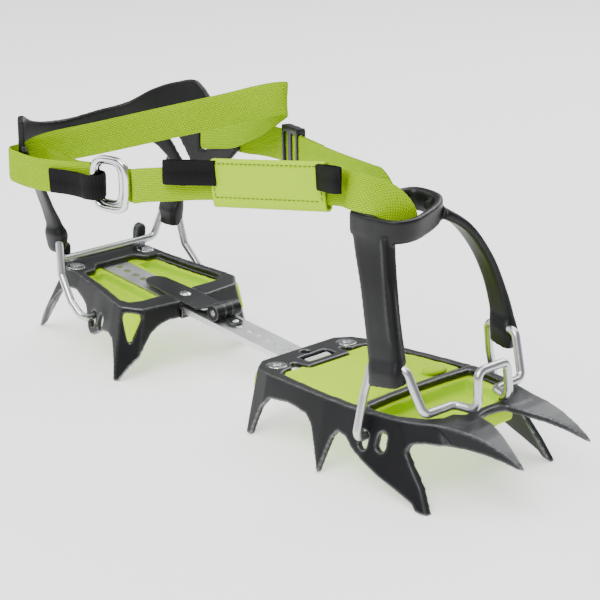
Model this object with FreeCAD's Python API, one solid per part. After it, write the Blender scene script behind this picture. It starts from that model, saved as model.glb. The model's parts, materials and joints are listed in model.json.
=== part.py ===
import FreeCAD, Part
import math
import os

# Twelve-point strap-on crampon, one of a pair, in millimetres.
# Layout axes: X towards the toe, Y across the boot, Z up, with every ground point at Z = 0.
# Layout X = 8 and X = 165 are the screw lines of the heel and front frames.
# The published origin is on the ground under the middle of the whole object.

V = FreeCAD.Vector

ORIGIN = V(144.517, -3.73, 0.0)

# Heel frame: its top plane falls towards the toe, and the front frame's rises, as a boot sole does.
HEEL_BASE = V(8.0, 0.0, 42.0)
HEEL_PITCH = 4.57
FRONT_BASE = V(165.0, 0.0, 31.0)
FRONT_PITCH = -2.78

SHEET = 3.2
FLANGE = 3.4
OUTLINE_DEPTH = 42.0
SKIRT_DEPTH = 47.0
SCREW_HEAD_R = 4.6
SCREW_SHANK_R = 2.0
HEEL_SCREW_Y = 23.3
FRONT_SCREW_Y = 23.2

BAR_WIDTH = 16.0
BAR_THICK = 3.0
BAR_DROP = 3.3
HOLE_PITCH = 7.0
HOLE_R = 2.1

WIRE_R = 2.0
CLIP_GAP = 0.05
HEEL_WIRE_HOLE = (32.5, -14.2)
FRONT_WIRE_HOLE = (75.6, -10.7)
TAB_SLOT_PITCH = (7.5, 9.6)
TAB_SLOT_LONG = 8.4
TAB_SLOT_WIDE = 4.7

WEB_WIDTH = 16.4
WEB_THICK = 1.8

LEVER_PIN = (92.8, 1.35)
LEVER_PIN_R = 1.5
LOCK_PIN_REACH = 8.4
KNUCKLE_R = 4.2
LEAF_HALF = 8.0
LEAF_THICK = 1.0
POCKET_DEPTH = 1.4


def placed(shape, base, pitch):
    """Local frame coordinates to layout: turned by the section's pitch about Y, then set on its base."""
    out = shape.copy()
    out.rotate(V(0, 0, 0), V(0, 1, 0), pitch)
    out.translate(base)
    return out


def on_heel(shape):
    return placed(shape, HEEL_BASE, HEEL_PITCH)


def on_front(shape):
    return placed(shape, FRONT_BASE, FRONT_PITCH)


def heel_point(u, y, w):
    """Layout position of a point given in the heel frame's own plane."""
    turn = FreeCAD.Rotation(V(0, 1, 0), HEEL_PITCH)
    return HEEL_BASE + turn.multVec(V(u, y, w))


def front_point(u, y, w):
    """Layout position of a point given in the front frame's own plane."""
    turn = FreeCAD.Rotation(V(0, 1, 0), FRONT_PITCH)
    return FRONT_BASE + turn.multVec(V(u, y, w))


def mirrored(half):
    """Closed outline from its +Y half, listed from one end of the centre line to the other."""
    return half + [(x, -y) for x, y in reversed(half) if y > 0]


def polygon(points):
    return Part.makePolygon([V(*p) for p in points] + [V(*points[0])])


def plate(outline, low, high):
    """Flat plate with an outline in its own plane, between two heights."""
    face = Part.Face(polygon([(x, y, low) for x, y in outline]))
    return face.extrude(V(0, 0, high - low))


def across(profile, half_width):
    """Bar with a side-view profile (x, z), as wide as twice half_width in Y."""
    face = Part.Face(polygon([(x, -half_width, z) for x, z in profile]))
    return face.extrude(V(0, 2 * half_width, 0))


def along(profile, start, end):
    """Bar with an end-view profile (y, z), running from X = start to X = end."""
    face = Part.Face(polygon([(start, y, z) for y, z in profile]))
    return face.extrude(V(end - start, 0, 0))


def box(x0, x1, y0, y1, z0, z1):
    return Part.makeBox(x1 - x0, y1 - y0, z1 - z0, V(x0, y0, z0))


def rod(start, end, radius):
    step = end - start
    return Part.makeCylinder(radius, step.Length, start, step)


def fuse(shapes):
    return shapes[0].fuse(shapes[1:]).removeSplitter() if len(shapes) > 1 else shapes[0]


def main_solid(shape):
    """The piece itself, without the crumbs that a trim can leave."""
    return max(shape.Solids, key=lambda solid: solid.Volume)


def loft(sections, ruled):
    """Closed solid through a list of closed sections, each a list of 3-D points."""
    return Part.makeLoft([polygon(s) for s in sections], True, ruled)


def mirror_y(shape):
    return shape.mirror(V(0, 0, 0), V(0, 1, 0))


def both_sides(shape):
    return [shape, mirror_y(shape)]


def bent_tube(points, radius, bend):
    """Round wire along straight runs joined by tangent arcs of one bend radius."""
    pts = [V(*p) for p in points]
    edges = []
    here = pts[0]
    for before, corner, after in zip(pts, pts[1:], pts[2:]):
        back = (before - corner).normalize()
        ahead = (after - corner).normalize()
        half = 0.5 * math.acos(max(-1.0, min(1.0, back.dot(ahead))))
        room = 0.48 * min((before - corner).Length, (after - corner).Length)
        trim = min(bend / math.tan(half), room)
        start = corner + back * trim
        end = corner + ahead * trim
        bisector = (back + ahead).normalize()
        arc_r = trim * math.tan(half)
        middle = corner + bisector * (arc_r / math.sin(half) - arc_r)
        edges.append(Part.LineSegment(here, start).toShape())
        edges.append(Part.Arc(start, middle, end).toShape())
        here = end
    edges.append(Part.LineSegment(here, pts[-1]).toShape())
    path = Part.Wire(edges)
    first = pts[1] - pts[0]
    circle = Part.Wire([Part.Circle(pts[0], first, radius).toShape()])
    return path.makePipeShell([circle], True, False)


def band(route, width, thick, lean=None):
    """Flat strap on edge: route points are its middle line, its width stands along lean (up by default)."""
    pts = [V(*p) for p in route]
    sections = []
    for i, p in enumerate(pts):
        back = p - pts[max(i - 1, 0)]
        ahead = pts[min(i + 1, len(pts) - 1)] - p
        if back.Length > 0:
            back = back.normalize()
        if ahead.Length > 0:
            ahead = ahead.normalize()
        along_it = (back + ahead).normalize()
        up = V(*lean[i]) if lean else V(0, 0, 1)
        side = along_it.cross(up).normalize()
        rise = side.cross(along_it).normalize()
        half_turn = 0.5 * math.acos(max(-1.0, min(1.0, back.dot(ahead)))) if 0 < i < len(pts) - 1 else 0.0
        s = side * (0.5 * thick / max(math.cos(half_turn), 0.35))
        r = rise * (0.5 * width)
        sections.append([p + s + r, p - s + r, p - s - r, p + s - r])
    return Part.makeLoft([Part.makePolygon(c + [c[0]]) for c in sections], True, True)


def skirt(top_half, bottom_half, depth, thick):
    """Bent-down sheet flange, +Y half: bottom_half is its outline OUTLINE_DEPTH below top_half."""
    def ribbon(outline, z, inset):
        out = []
        for i, (x, y) in enumerate(outline):
            x0, y0 = outline[max(i - 1, 0)]
            x1, y1 = outline[min(i + 1, len(outline) - 1)]
            dx, dy = x1 - x0, y1 - y0
            size = math.hypot(dx, dy)
            out.append(V(x + inset * dy / size, y - inset * dx / size, z))
        return out
    grow = depth / OUTLINE_DEPTH
    foot = [(x + (a - x) * grow, y + (b - y) * grow) for (x, y), (a, b) in zip(top_half, bottom_half)]
    pieces = []
    outer_top = ribbon(top_half, 0.0, 0.0)
    inner_top = ribbon(top_half, 0.0, thick)
    outer_low = ribbon(foot, -depth, 0.0)
    inner_low = ribbon(foot, -depth, thick)
    for i in range(len(top_half) - 1):
        upper = [outer_top[i], outer_top[i + 1], inner_top[i + 1], inner_top[i]]
        lower = [outer_low[i], outer_low[i + 1], inner_low[i + 1], inner_low[i]]
        pieces.append(loft([upper, lower], True))
    return pieces


# ---------------------------------------------------------------- heel frame

HEEL_TOP = [(-9, 0), (-9, 23), (-3.5, 28.2), (12, 29.6), (30, 32.8), (50, 37.2), (57.3, 38.2),
            (66.5, 30.5), (68.5, 12), (68.5, 0)]
HEEL_LOW = [(-30, 0), (-30, 23), (-23, 33), (3, 37.5), (28, 42), (54, 46.5), (64, 47.6),
            (73.5, 40), (77, 14), (77, 0)]
HEEL_WINDOW = [(3.5, 0), (3.5, 13), (9, 17.5), (9.5, 25), (16, 26.2), (32, 28.6), (50, 32.6),
               (54.5, 30.5), (56.5, 24), (56.5, 0)]
HEEL_SIDE_ARCH = [(-29.0, -44.8), (-20, -34), (-11.8, -23.4), (-4.8, -14.5), (2, -10), (10.2, -8.7),
                  (17.8, -10.4),
                  (22.5, -12.5), (26, -17), (28.5, -21.5), (32, -24), (36, -23.2), (40, -20.2), (45, -17.6),
                  (50, -16.8), (54, -18.2), (57.2, -24), (59.8, -30), (62.4, -38.2)]
HEEL_REAR_ARCH = [(0, -SHEET), (9.4, -SHEET), (9.8, -8.0), (13, -8.2), (16, -9.6), (18, -13), (19.6, -22),
                  (21.2, -34), (22.6, -45)]
HEEL_FRONT_ARCH = [(0, -8.6), (16, -8.6), (22, -10), (27.5, -13.5), (32.5, -20), (39.5, -29.5), (45.4,
                   -38.4)]


def closed_below(points, floor):
    first, last = points[0], points[-1]
    return points + [(last[0], floor), (first[0], floor)]


def mirrored_arch(points, floor):
    """End-view arch opening between a pair of points, from its +Y half."""
    half = points + [(points[-1][0], floor)]
    return half + [(-y, z) for y, z in reversed(half)]


def wire_slots(hole, pitch, reach):
    """Upright slots through a side flange, the first one around the wire's pivot line."""
    cutters = []
    for n in range(2):
        u = hole[0] + n * pitch
        w = hole[1] - 1.6 + n * 1.0
        half = 0.5 * (TAB_SLOT_LONG - TAB_SLOT_WIDE)
        r = 0.5 * TAB_SLOT_WIDE
        for z in (w - half, w + half):
            cutters.append(rod(V(u, -reach, z), V(u, reach, z), r))
        cutters.append(box(u - r, u + r, -reach, reach, w - half, w + half))
    return cutters


def screw_holes(u, half_spacing):
    cutters = []
    for y in (-half_spacing, half_spacing):
        cutters.append(rod(V(u, y, -SHEET - 1), V(u, y, 1), SCREW_SHANK_R + 0.2))
        cutters.append(rod(V(u, y, -1.5), V(u, y, 1), SCREW_HEAD_R + 0.15))
    return cutters


def corner_windows(start, end, half, top, bottom):
    """Triangular windows, apex down, through the slanted corner flange on both sides.

    The flange's top edge runs from start to end, and the window is pushed through square to it.
    """
    dx, dy = end[0] - start[0], end[1] - start[1]
    size = math.hypot(dx, dy)
    ex, ey = dx / size, dy / size
    cx, cy = 0.5 * (start[0] + end[0]), 0.5 * (start[1] + end[1])
    out = []
    for s in (1, -1):
        a = V(cx - ex * half, s * (cy - ey * half), top)
        b = V(cx + ex * half, s * (cy + ey * half), top)
        c = V(cx, s * cy, bottom)
        through = V(ey, -s * ex, 0)
        face = Part.Face(Part.makePolygon([p - through * 14 for p in (a, b, c, a)]))
        out.append(face.extrude(through * 28))
    return out


def above_ground(shape):
    """Points end on the ground plane."""
    return shape.common(box(-100, 400, -100, 100, 0, 100))


def heel_lugs():
    """Two upright rounded lugs that keep the heel bar from riding off the back."""
    lugs = []
    for y in (-25.5, 25.5):
        stem = box(-10.5, -6.5, y - 3.4, y + 3.4, -6, 8.5)
        cap = Part.makeCylinder(3.4, 4.0, V(-10.5, y, 8.5), V(1, 0, 0))
        lugs.append(stem.fuse(cap))
    return lugs


def heel_frame():
    body = [plate(mirrored(HEEL_TOP), -SHEET, 0.0)]
    for piece in skirt(HEEL_TOP, HEEL_LOW, SKIRT_DEPTH, FLANGE):
        body += both_sides(piece)
    body += heel_lugs()
    shape = fuse(body)
    side = across(closed_below(HEEL_SIDE_ARCH, -60), 80)
    rear = along(mirrored_arch(HEEL_REAR_ARCH, -60), -60, 10)
    front = along(mirrored_arch(HEEL_FRONT_ARCH, -60), 46, 100)
    window = plate(mirrored(HEEL_WINDOW), -20, 5)
    pocket = box(50, 90, -LEAF_HALF - 0.4, LEAF_HALF + 0.4, -POCKET_DEPTH, 5)
    bar_way = box(60, 90, -BAR_WIDTH / 2 - 1.8, BAR_WIDTH / 2 + 1.8, -9, -SHEET)
    rivet = rod(V(57.5 + 4.5, 0, -SHEET - 1), V(57.5 + 4.5, 0, 1), 2.05)
    cutters = [side, rear, front, window, pocket, bar_way, rivet]
    cutters += wire_slots(HEEL_WIRE_HOLE, TAB_SLOT_PITCH[0], 60)
    cutters += screw_holes(0.0, HEEL_SCREW_Y)
    cutters += corner_windows(HEEL_TOP[6], HEEL_TOP[7], 4.7, -3.4, -19.0)
    return above_ground(on_heel(shape.cut(cutters)))


def countersunk_screws(u, half_spacing, place):
    out = []
    for y in (-half_spacing, half_spacing):
        head = rod(V(u, y, -1.4), V(u, y, -0.05), SCREW_HEAD_R)
        shank = rod(V(u, y, -SHEET - 3.2), V(u, y, -1.4), SCREW_SHANK_R)
        cross = [box(u - 2.2, u + 2.2, y - 0.45, y + 0.45, -0.75, 1),
                 box(u - 0.45, u + 0.45, y - 2.2, y + 2.2, -0.75, 1)]
        out.append(place(head.fuse(shank).cut(cross)))
    return Part.makeCompound(out)


def heel_antiball_plate():
    """Moulded plate under the heel window, with a channel for the link bar and corner inserts."""
    outline = [(-1, 0), (-1, 18), (6, 22), (10, 24.5), (32, 27.5), (52, 32), (58, 32), (62, 26), (63, 0)]
    block = plate(mirrored(outline), -12.0, -SHEET - 0.05)
    guide_room = box(58.8, 72, -BAR_WIDTH / 2 - 1.9, BAR_WIDTH / 2 + 1.9, -8.8, 0)
    channel = box(-60, 70, -BAR_WIDTH / 2 - 0.6, BAR_WIDTH / 2 + 0.6, -BAR_DROP - BAR_THICK - 0.5, 0)
    dishes = []
    for s in (1, -1):
        dish = [(9, 11.5), (9, 20), (30, 24), (50, 28), (52, 11.5)]
        dishes.append(plate([(x, s * y) for x, y in dish], -8.0, 0))
    screws = [rod(V(0, y, -14), V(0, y, 0), SCREW_SHANK_R + 0.2) for y in (-HEEL_SCREW_Y, HEEL_SCREW_Y)]
    lugs = []
    for s in (1, -1):
        pad = [(-6, 0), (3, 0), (3, 27), (-3, 26.5), (-6, 22)]
        lugs.append(plate([(x, s * y) for x, y in pad], -8.0, -SHEET - 0.05))
        insert = [(50, 24), (62, 24), (66.3, 33), (61.5, 36.8), (52, 32)]
        lugs.append(plate([(x, s * y) for x, y in insert], -17.0, -SHEET - 0.05))
    shape = fuse([block] + lugs).cut([channel, guide_room] + dishes + screws)
    inside = []
    for piece in skirt(HEEL_TOP, HEEL_LOW, SKIRT_DEPTH, FLANGE + 0.05):
        inside += both_sides(piece)
    return on_heel(main_solid(shape.cut(inside)))


# ---------------------------------------------------------------- front frame

FRONT_TOP = [(-10, 0), (-10, 24), (-4.5, 31.5), (5, 34.2), (27, 36.4), (48, 38.2), (71, 39.3), (92, 36.5),
             (108, 29.8), (117, 21)]
FRONT_LOW = [(-14, 0), (-14, 30), (-5, 43), (6, 45), (29, 48), (52, 50.6), (85, 50.5), (114.5, 45.4),
             (135, 38), (147, 26)]
FRONT_OUTLINE = FRONT_TOP[:-1] + [(113, 25.5), (117, 16), (114.5, 9.5), (112.5, 5), (112, 0)]
REAR_WINDOW = [(12, 0), (12, 13.5), (3.2, 14.6), (3.2, 17.2), (7.5, 20.5), (8.2, 26), (10.5, 29.8),
               (43, 34.0), (66, 35.2), (65.2, 18), (64.6, 0)]
TOE_WINDOW = [(68.6, 0), (69.2, 18), (70.6, 33.6), (79, 34.5), (90, 32.5), (99.5, 27), (105.5, 20),
              (108, 11),
              (107.6, 0)]
BAR_SLOT = [(-0.5, 9.2), (7.5, 9.2), (7.5, -9.2), (-0.5, -9.2)]
FRONT_SIDE_ARCH = [(-1.4, -32), (0.4, -25), (3.4, -17), (9, -11.2), (23.8, -9.4), (36.8, -10.8), (41.5,
                   -14.5),
                   (46, -23), (51.4, -34), (53.6, -25.2), (56.1, -16.5), (59.5, -12.6), (64.9, -13.8),
                   (69.3, -17.6), (85.4, -25.4), (100.1, -31), (106.1, -33.4), (107.8, -36), (114.5, -37),
                   (109, -26.5), (101.6, -17.4), (98.2, -12.6), (99.5, -9.6), (104, -8.8), (118, -8.4),
                   (160, -8.4)]
FRONT_REAR_ARCH = [(0, -SHEET), (14, -SHEET), (19, -6.5), (25, -12), (31, -21), (35.4, -28), (37.4, -33)]

# Each front claw: station along X, inner and outer edge across, top height and flange depth, in the frame's plane.
CLAW_STATIONS = [(104.0, 15.0, 31.6, 0.0, 9.4), (114.0, 8.6, 28.6, -0.1, 9.0), (123.0, 10.6, 27.2, -0.8,
                 8.0),
                 (132.0, 14.6, 25.8, -2.6, 6.6), (141.0, 18.6, 24.4, -5.8, 4.6), (147.5, 20.8, 23.6,
                                                                                  -9.2, 2.6),
                 (150.4, 21.9, 22.7, -11.2, 0.9)]


def claw():
    sections = []
    for u, inner, outer, top, depth in CLAW_STATIONS:
        t = min(SHEET, 0.62 * depth)
        wide = min(FLANGE, 0.6 * (outer - inner))
        sections.append([V(u, inner, top), V(u, outer, top), V(u, outer, top - depth),
                         V(u, outer - wide, top - depth), V(u, outer - wide, top - t), V(u, inner,
                                                                                         top - t)])
    return loft(sections, True)


def front_frame():
    body = [plate(mirrored(FRONT_OUTLINE), -SHEET, 0.0)]
    for piece in skirt(FRONT_TOP, FRONT_LOW, SKIRT_DEPTH, FLANGE):
        body += both_sides(piece)
    shape = fuse(body)
    side = across(closed_below(FRONT_SIDE_ARCH, -60), 80)
    rear = along(mirrored_arch(FRONT_REAR_ARCH, -60), -60, 8)
    windows = [plate(mirrored(w), -20, 5) for w in (REAR_WINDOW, TOE_WINDOW)]
    slot = plate(BAR_SLOT, -20, 5)
    crease = [box(67.2, 68.2, -60, 60, -0.25, 2)]
    hole = rod(V(-4.6, 0, -10), V(-4.6, 0, 5), 2.6)
    cutters = [side, rear, slot, hole] + windows + crease
    cutters += wire_slots(FRONT_WIRE_HOLE, TAB_SLOT_PITCH[1], 60)
    cutters += screw_holes(0.4, FRONT_SCREW_Y)
    cutters += corner_windows(FRONT_TOP[1], FRONT_TOP[2], 3.2, -3.4, -13.0)
    shape = shape.cut(cutters)
    return above_ground(on_front(shape.fuse(both_sides(claw())).removeSplitter()))


def front_antiball_plate():
    """Moulded plate under the front frame: raised flush pad behind, deep dish in the toe window."""
    base = [(10.5, 0), (10.5, 29), (2, 30), (2, 30.5), (27, 32.4), (48, 34.2), (70, 35.2), (88, 32.6),
            (102, 26.5),
            (109, 19), (110, 0)]
    block = plate(mirrored(base), -11.2, -SHEET - 0.05)
    pad = [(12.6, 0), (12.6, 14.1), (8.6, 14.2), (8.6, 26.5), (12, 29.2), (42.5, 33.4), (64, 34.4),
           (63.8, 0)]
    dish = [(71, 0), (72, 30), (88, 28), (98, 22), (103, 12), (104, 0)]
    rim = plate(mirrored(dish), -SHEET - 6.2, 0)
    inserts = []
    for s in (1, -1):
        corner = [(-8.4, 25), (2, 25), (4, 30.5), (-1.5, 31.4), (-4.2, 29.4), (-7.4, 25.4)]
        inserts.append(plate([(x, s * y) for x, y in corner], -12.0, -SHEET - 0.05))
    shape = fuse([block, plate(mirrored(pad), -5.0, -0.7)] + inserts)
    screws = [rod(V(0.4, y, -14), V(0.4, y, 0), SCREW_SHANK_R + 0.2) for y in (-FRONT_SCREW_Y,
              FRONT_SCREW_Y)]
    inside = []
    for piece in skirt(FRONT_TOP, FRONT_LOW, SKIRT_DEPTH, FLANGE + 0.05):
        inside += both_sides(piece)
    hook_room = box(-12, 11.0, -12, 12, -12, 0)
    return on_front(main_solid(shape.cut([rim, hook_room] + screws + inside)))


# ---------------------------------------------------------------- link bar and its lock

def link_bar():
    """Flat perforated bar that runs from the heel frame to a hook through the front crossbar."""
    top = -BAR_DROP
    low = top - BAR_THICK
    turn = FreeCAD.Rotation(V(0, 1, 0), HEEL_PITCH).inverted()
    hook = turn.multVec(front_point(3.4, 0, 0) - HEEL_BASE)
    strip = box(-6.5, hook.x - 3.0, -BAR_WIDTH / 2, BAR_WIDTH / 2, low, top)
    rise = [(hook.x - 6.0, low), (hook.x - 1.0, low), (hook.x + 2.0, low + 3.0), (hook.x + 2.0,
            hook.z - 0.9),
            (hook.x - 1.2, hook.z - 0.9), (hook.x - 1.2, top + 0.5), (hook.x - 2.2, top), (hook.x - 6.0,
                                                                                           top)]
    shape = strip.fuse(across(rise, 7.4)).removeSplitter()
    first = 7.0
    count = int((hook.x - 18.0 - first) / HOLE_PITCH) + 1
    holes = [rod(V(first + n * HOLE_PITCH, 0, low - 1), V(first + n * HOLE_PITCH, 0, top + 1), HOLE_R)
             for n in range(count)]
    return on_heel(shape.cut(holes))


def bar_guide():
    """Stirrup under the heel frame's front crossbar that the link bar slides through."""
    half = BAR_WIDTH / 2
    outer = box(59.0, 71.5, -half - 1.7, half + 1.7, -8.6, -SHEET - 0.02)
    way = box(50, 80, -half - 0.35, half + 0.35, -BAR_DROP - BAR_THICK - 0.4, 0)
    lip = box(68.9, 71.5, -half - 1.7, half + 1.7, -SHEET - 0.03, -SHEET)
    return on_heel(outer.cut([way, lip]))


def lever_leaf():
    """Spring leaf riveted in its crossbar pocket, rolled at the front into two knuckles."""
    top = -0.15
    low = top - LEAF_THICK
    pin_u, pin_w = LEVER_PIN
    tongue = plate([(40, -6.6), (62, -LEAF_HALF), (62, LEAF_HALF), (40, 6.6)], low, top)
    tip = Part.makeCylinder(6.6, LEAF_THICK, V(40, 0, low))
    strip = box(62, 80, -LEAF_HALF, LEAF_HALF, low, top)
    ramp = across([(80, low), (pin_u, pin_w + KNUCKLE_R - LEAF_THICK), (pin_u, pin_w + KNUCKLE_R),
                  (79.6, top),
                   (79.6, low)], LEAF_HALF)
    roll = rod(V(pin_u, -LEAF_HALF, pin_w), V(pin_u, LEAF_HALF, pin_w), KNUCKLE_R)
    gap = box(pin_u - 6.5, pin_u + 6, -2.6, 2.6, -10, 10)
    bore = rod(V(pin_u, -20, pin_w), V(pin_u, 20, pin_w), LEVER_PIN_R)
    rivet = rod(V(62, 0, -5), V(62, 0, 5), 2.05)
    return on_heel(fuse([tongue, tip, strip, ramp, roll]).cut([gap, bore, rivet]))


def lever_rivet():
    stem = rod(V(62, 0, -SHEET + 0.05), V(62, 0, 0), 2.0)
    head = Part.makeSphere(5.2, V(62, 0, -4.3)).common(box(50, 80, -10, 10, -0.14, 5))
    return on_heel(stem.fuse(head).removeSplitter())


def lever_hinge_pin():
    pin_u, pin_w = LEVER_PIN
    return on_heel(rod(V(pin_u, -LEAF_HALF + 0.2, pin_w), V(pin_u, LEAF_HALF - 0.2, pin_w), LEVER_PIN_R))


def lock_tab():
    """Flip-up tab on the middle of the hinge pin, rounded at its free end."""
    pin_u, pin_w = LEVER_PIN
    low = -BAR_DROP + 0.35
    eye = rod(V(pin_u, -2.3, pin_w), V(pin_u, 2.3, pin_w), KNUCKLE_R - 0.1)
    arm = box(pin_u, pin_u + LOCK_PIN_REACH, -2.3, 2.3, low, low + 1.3)
    disc = Part.makeCylinder(4.0, 1.3, V(pin_u + LOCK_PIN_REACH, 0, low))
    bore = rod(V(pin_u, -10, pin_w), V(pin_u, 10, pin_w), LEVER_PIN_R + 0.05)
    stud = rod(V(pin_u + LOCK_PIN_REACH, 0, low - 1), V(pin_u + LOCK_PIN_REACH, 0, low + 3), 1.6)
    return on_heel(fuse([eye, arm, disc]).cut([bore, stud]))


def locking_pin():
    pin_u = LEVER_PIN[0] + LOCK_PIN_REACH
    low = -BAR_DROP + 0.35
    stem = rod(V(pin_u, 0, low), V(pin_u, 0, low + 1.35), 1.6)
    head = Part.makeSphere(3.2, V(pin_u, 0, low - 1.1)).common(box(pin_u - 5, pin_u + 5, -5, 5,
                                                               low + 1.31, low + 5))
    return on_heel(stem.fuse(head).removeSplitter())


# ---------------------------------------------------------------- wire bails

def heel_pivot():
    return heel_point(HEEL_WIRE_HOLE[0], 0, HEEL_WIRE_HOLE[1])


def front_pivot():
    return front_point(FRONT_WIRE_HOLE[0], 0, FRONT_WIRE_HOLE[1])


def heel_wire(radius=WIRE_R):
    pivot = heel_pivot()
    half = [(pivot.x, 33.0, pivot.z), (pivot.x, 43.2, pivot.z), (30.0, 43.4, 32.0), (19.5, 41.5, 44.0),
            (15.6, 39.6, 63.4), (7.6, 36.8, 63.0), (5.4, 31.0, 46.6)]
    route = half + [(x, -y, z) for x, y, z in reversed(half)]
    return bent_tube(route, radius, 4.2)


def front_wire(radius=WIRE_R):
    pivot = front_pivot()
    half = [(pivot.x, 37.6, pivot.z), (pivot.x, 46.6, pivot.z), (240.4, 41.4, 44.0), (241.6, 37.8, 58.8),
            (259.6, 36.0, 58.8), (267.6, 32.4, 39.6), (267.8, 13.4, 39.4), (278.9, 10.4, 39.0), (277.2,
                                                                                                 9.6, 56.4)]
    route = half + [(x, -y, z) for x, y, z in reversed(half)]
    return bent_tube(route, radius, 4.0)


# ---------------------------------------------------------------- toe basket

def slab(points, thick, across_it):
    """Curved flat bar: points are its middle line with half-widths, thick is measured along across_it."""
    sections = []
    offset = V(*across_it) * (0.5 * thick)
    for centre, half in points:
        c, h = V(*centre), V(*half)
        sections.append([c + h + offset, c - h + offset, c - h - offset, c + h - offset])
    return Part.makeLoft([Part.makePolygon(s + [s[0]]) for s in sections], True, False)


def toe_basket():
    """Flexible moulded basket: a near post, an arched far arm and a strap ring between them."""
    near = [((251.5, -38.6, 50.5), (9.0, 0, 1.6)), ((247.5, -37.2, 66.0), (9.2, 0, 1.2)),
            ((239.5, -33.6, 88.0), (9.4, 0, 1.0)), ((231.0, -28.6, 111.5), (9.6, 0, 0.8)),
            ((228.5, -26.8, 122.0), (9.6, 0, 0.6))]
    far = [((252.5, 40.2, 50.5), (7.0, 0, -1.6)), ((251.0, 41.4, 68.0), (6.6, 0, -1.6)),
           ((248.0, 39.6, 86.0), (6.4, 0, -1.6)), ((243.0, 33.6, 103.0), (6.4, 0, -1.4)),
           ((237.0, 24.6, 115.0), (6.6, 0, -1.2)), ((233.0, 12.5, 121.0), (8.0, 0, -1.0))]
    post = slab(near, 4.2, (0, 0.93, 0.36))
    arm_sections = []
    for i, (centre, half) in enumerate(far):
        c, h = V(*centre), V(*half)
        ahead = V(*far[min(i + 1, len(far) - 1)][0]) - V(*far[max(i - 1, 0)][0])
        out = ahead.cross(V(1, 0, 0)).normalize() * 2.1
        arm_sections.append([c + h + out, c - h + out, c - h - out, c + h - out])
    arm = Part.makeLoft([Part.makePolygon(s + [s[0]]) for s in arm_sections], True, False)
    ring_outer = [(218, -29), (239, -29), (243, -22), (245, -5), (244, 8), (240, 14.5), (228, 15.5),
                  (217, 12),
                  (213, 4), (212.5, -18)]
    ring_inner = [(217.5, -25.6), (237, -25.6), (239.6, -20), (241.4, -5), (240.6, 6), (237.8, 10.6),
                  (228, 11.6),
                  (219.6, 8.8), (216.4, 3), (216, -17)]
    ring = plate(ring_outer, 112.5, 123.5).cut(plate(ring_inner, 100, 130))
    clips = [box(243.5, 259.5, -42.4, -33.6, 52.2, 65.4), box(245, 258.5, 34.0, 42.6, 52.2, 65.4)]
    shape = fuse([post, arm, ring] + clips)
    strap_way = plate(ring_inner, 100, 112.4)
    return main_solid(shape.cut([front_wire(WIRE_R + CLIP_GAP), strap_way]))


# ---------------------------------------------------------------- heel cup

CUP_THICK = 3.4
# Plan curve of the cup's wall with the heights of its lower and upper edges.
CUP_WALL = [((9.5, -56.0), 106.0, 126.6), ((-2.0, -47.6), 105.0, 125.6), ((-12.0, -35.0), 102.0, 119.4),
            ((-20.0, -18.6), 98.5, 115.0), ((-22.6, 0.0), 94.0, 113.8), ((-20.0, 16.0), 91.0, 116.0),
            ((-13.0, 29.5), 86.5, 119.4), ((-2.0, 39.0), 80.5, 127.2), ((12.0, 45.0), 72.0, 132.6),
            ((24.0, 48.0), 77.0, 134.5), ((36.0, 49.8), 88.0, 124.0), ((47.0, 50.6), 97.0, 114.5),
            ((54.0, 50.8), 101.0, 111.0)]


def cup_wall_sections():
    sections = []
    for i, ((x, y), low, high) in enumerate(CUP_WALL):
        x0, y0 = CUP_WALL[max(i - 1, 0)][0]
        x1, y1 = CUP_WALL[min(i + 1, len(CUP_WALL) - 1)][0]
        size = math.hypot(x1 - x0, y1 - y0)
        nx, ny = (y1 - y0) / size * CUP_THICK / 2, -(x1 - x0) / size * CUP_THICK / 2
        sections.append([V(x + nx, y + ny, low), V(x - nx, y - ny, low), V(x - nx, y - ny, high),
                         V(x + nx, y + ny, high)])
    return sections


def heel_cup():
    """Flexible moulded cup: a band round the heel, a tall perforated far wing and two arms to the wire."""
    wall = Part.makeLoft([Part.makePolygon(s + [s[0]]) for s in cup_wall_sections()], True, True)
    near_arm = slab([((6.0, -53.6, 112.0), (8.0, -3.8, 0)), ((8.2, -48.6, 98.0), (8.6, -3.0, 0)),
                     ((10.0, -42.4, 80.0), (7.4, -1.2, 0)), ((11.3, -38.6, 62.0), (6.6, 0, 0))],
                    CUP_THICK, (0.1, 0.93, 0.3))
    far_arm = slab([((19.0, 46.6, 88.0), (17.0, 3.0, 0)), ((15.0, 43.2, 76.0), (10.5, 1.6, 0)),
                    ((11.8, 39.4, 62.0), (6.8, 0, 0))], CUP_THICK, (0, 0.96, -0.25))
    clips = [box(5.2, 18.2, -43.4, -33.2, 55.5, 69.5), box(5.2, 18.2, 33.6, 43.8, 55.5, 69.5)]
    slot_axis = V(0.12, 1, 0).normalize()
    long_slot = rod(V(7.0, 30, 106.0), V(7.0, 60, 106.0), 3.6).fuse(
        [rod(V(15.5, 30, 91.0), V(15.5, 60, 91.0), 3.6),
         across([(3.9, 104.2), (12.4, 89.2), (18.6, 92.8), (10.1, 107.8)], 60).common(box(0, 40, 30, 60,
                                                                                      80, 120))])
    strap_slot = box(26.2, 31.2, 30, 70, 97.4, 117.4)
    near_slot = box(2.4, 7.6, -70, -38, 95.2, 114.2)
    shape = fuse([wall, near_arm, far_arm] + clips)
    return shape.cut([long_slot, strap_slot, near_slot, heel_wire(WIRE_R + CLIP_GAP)])


# ---------------------------------------------------------------- webbing harness

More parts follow.
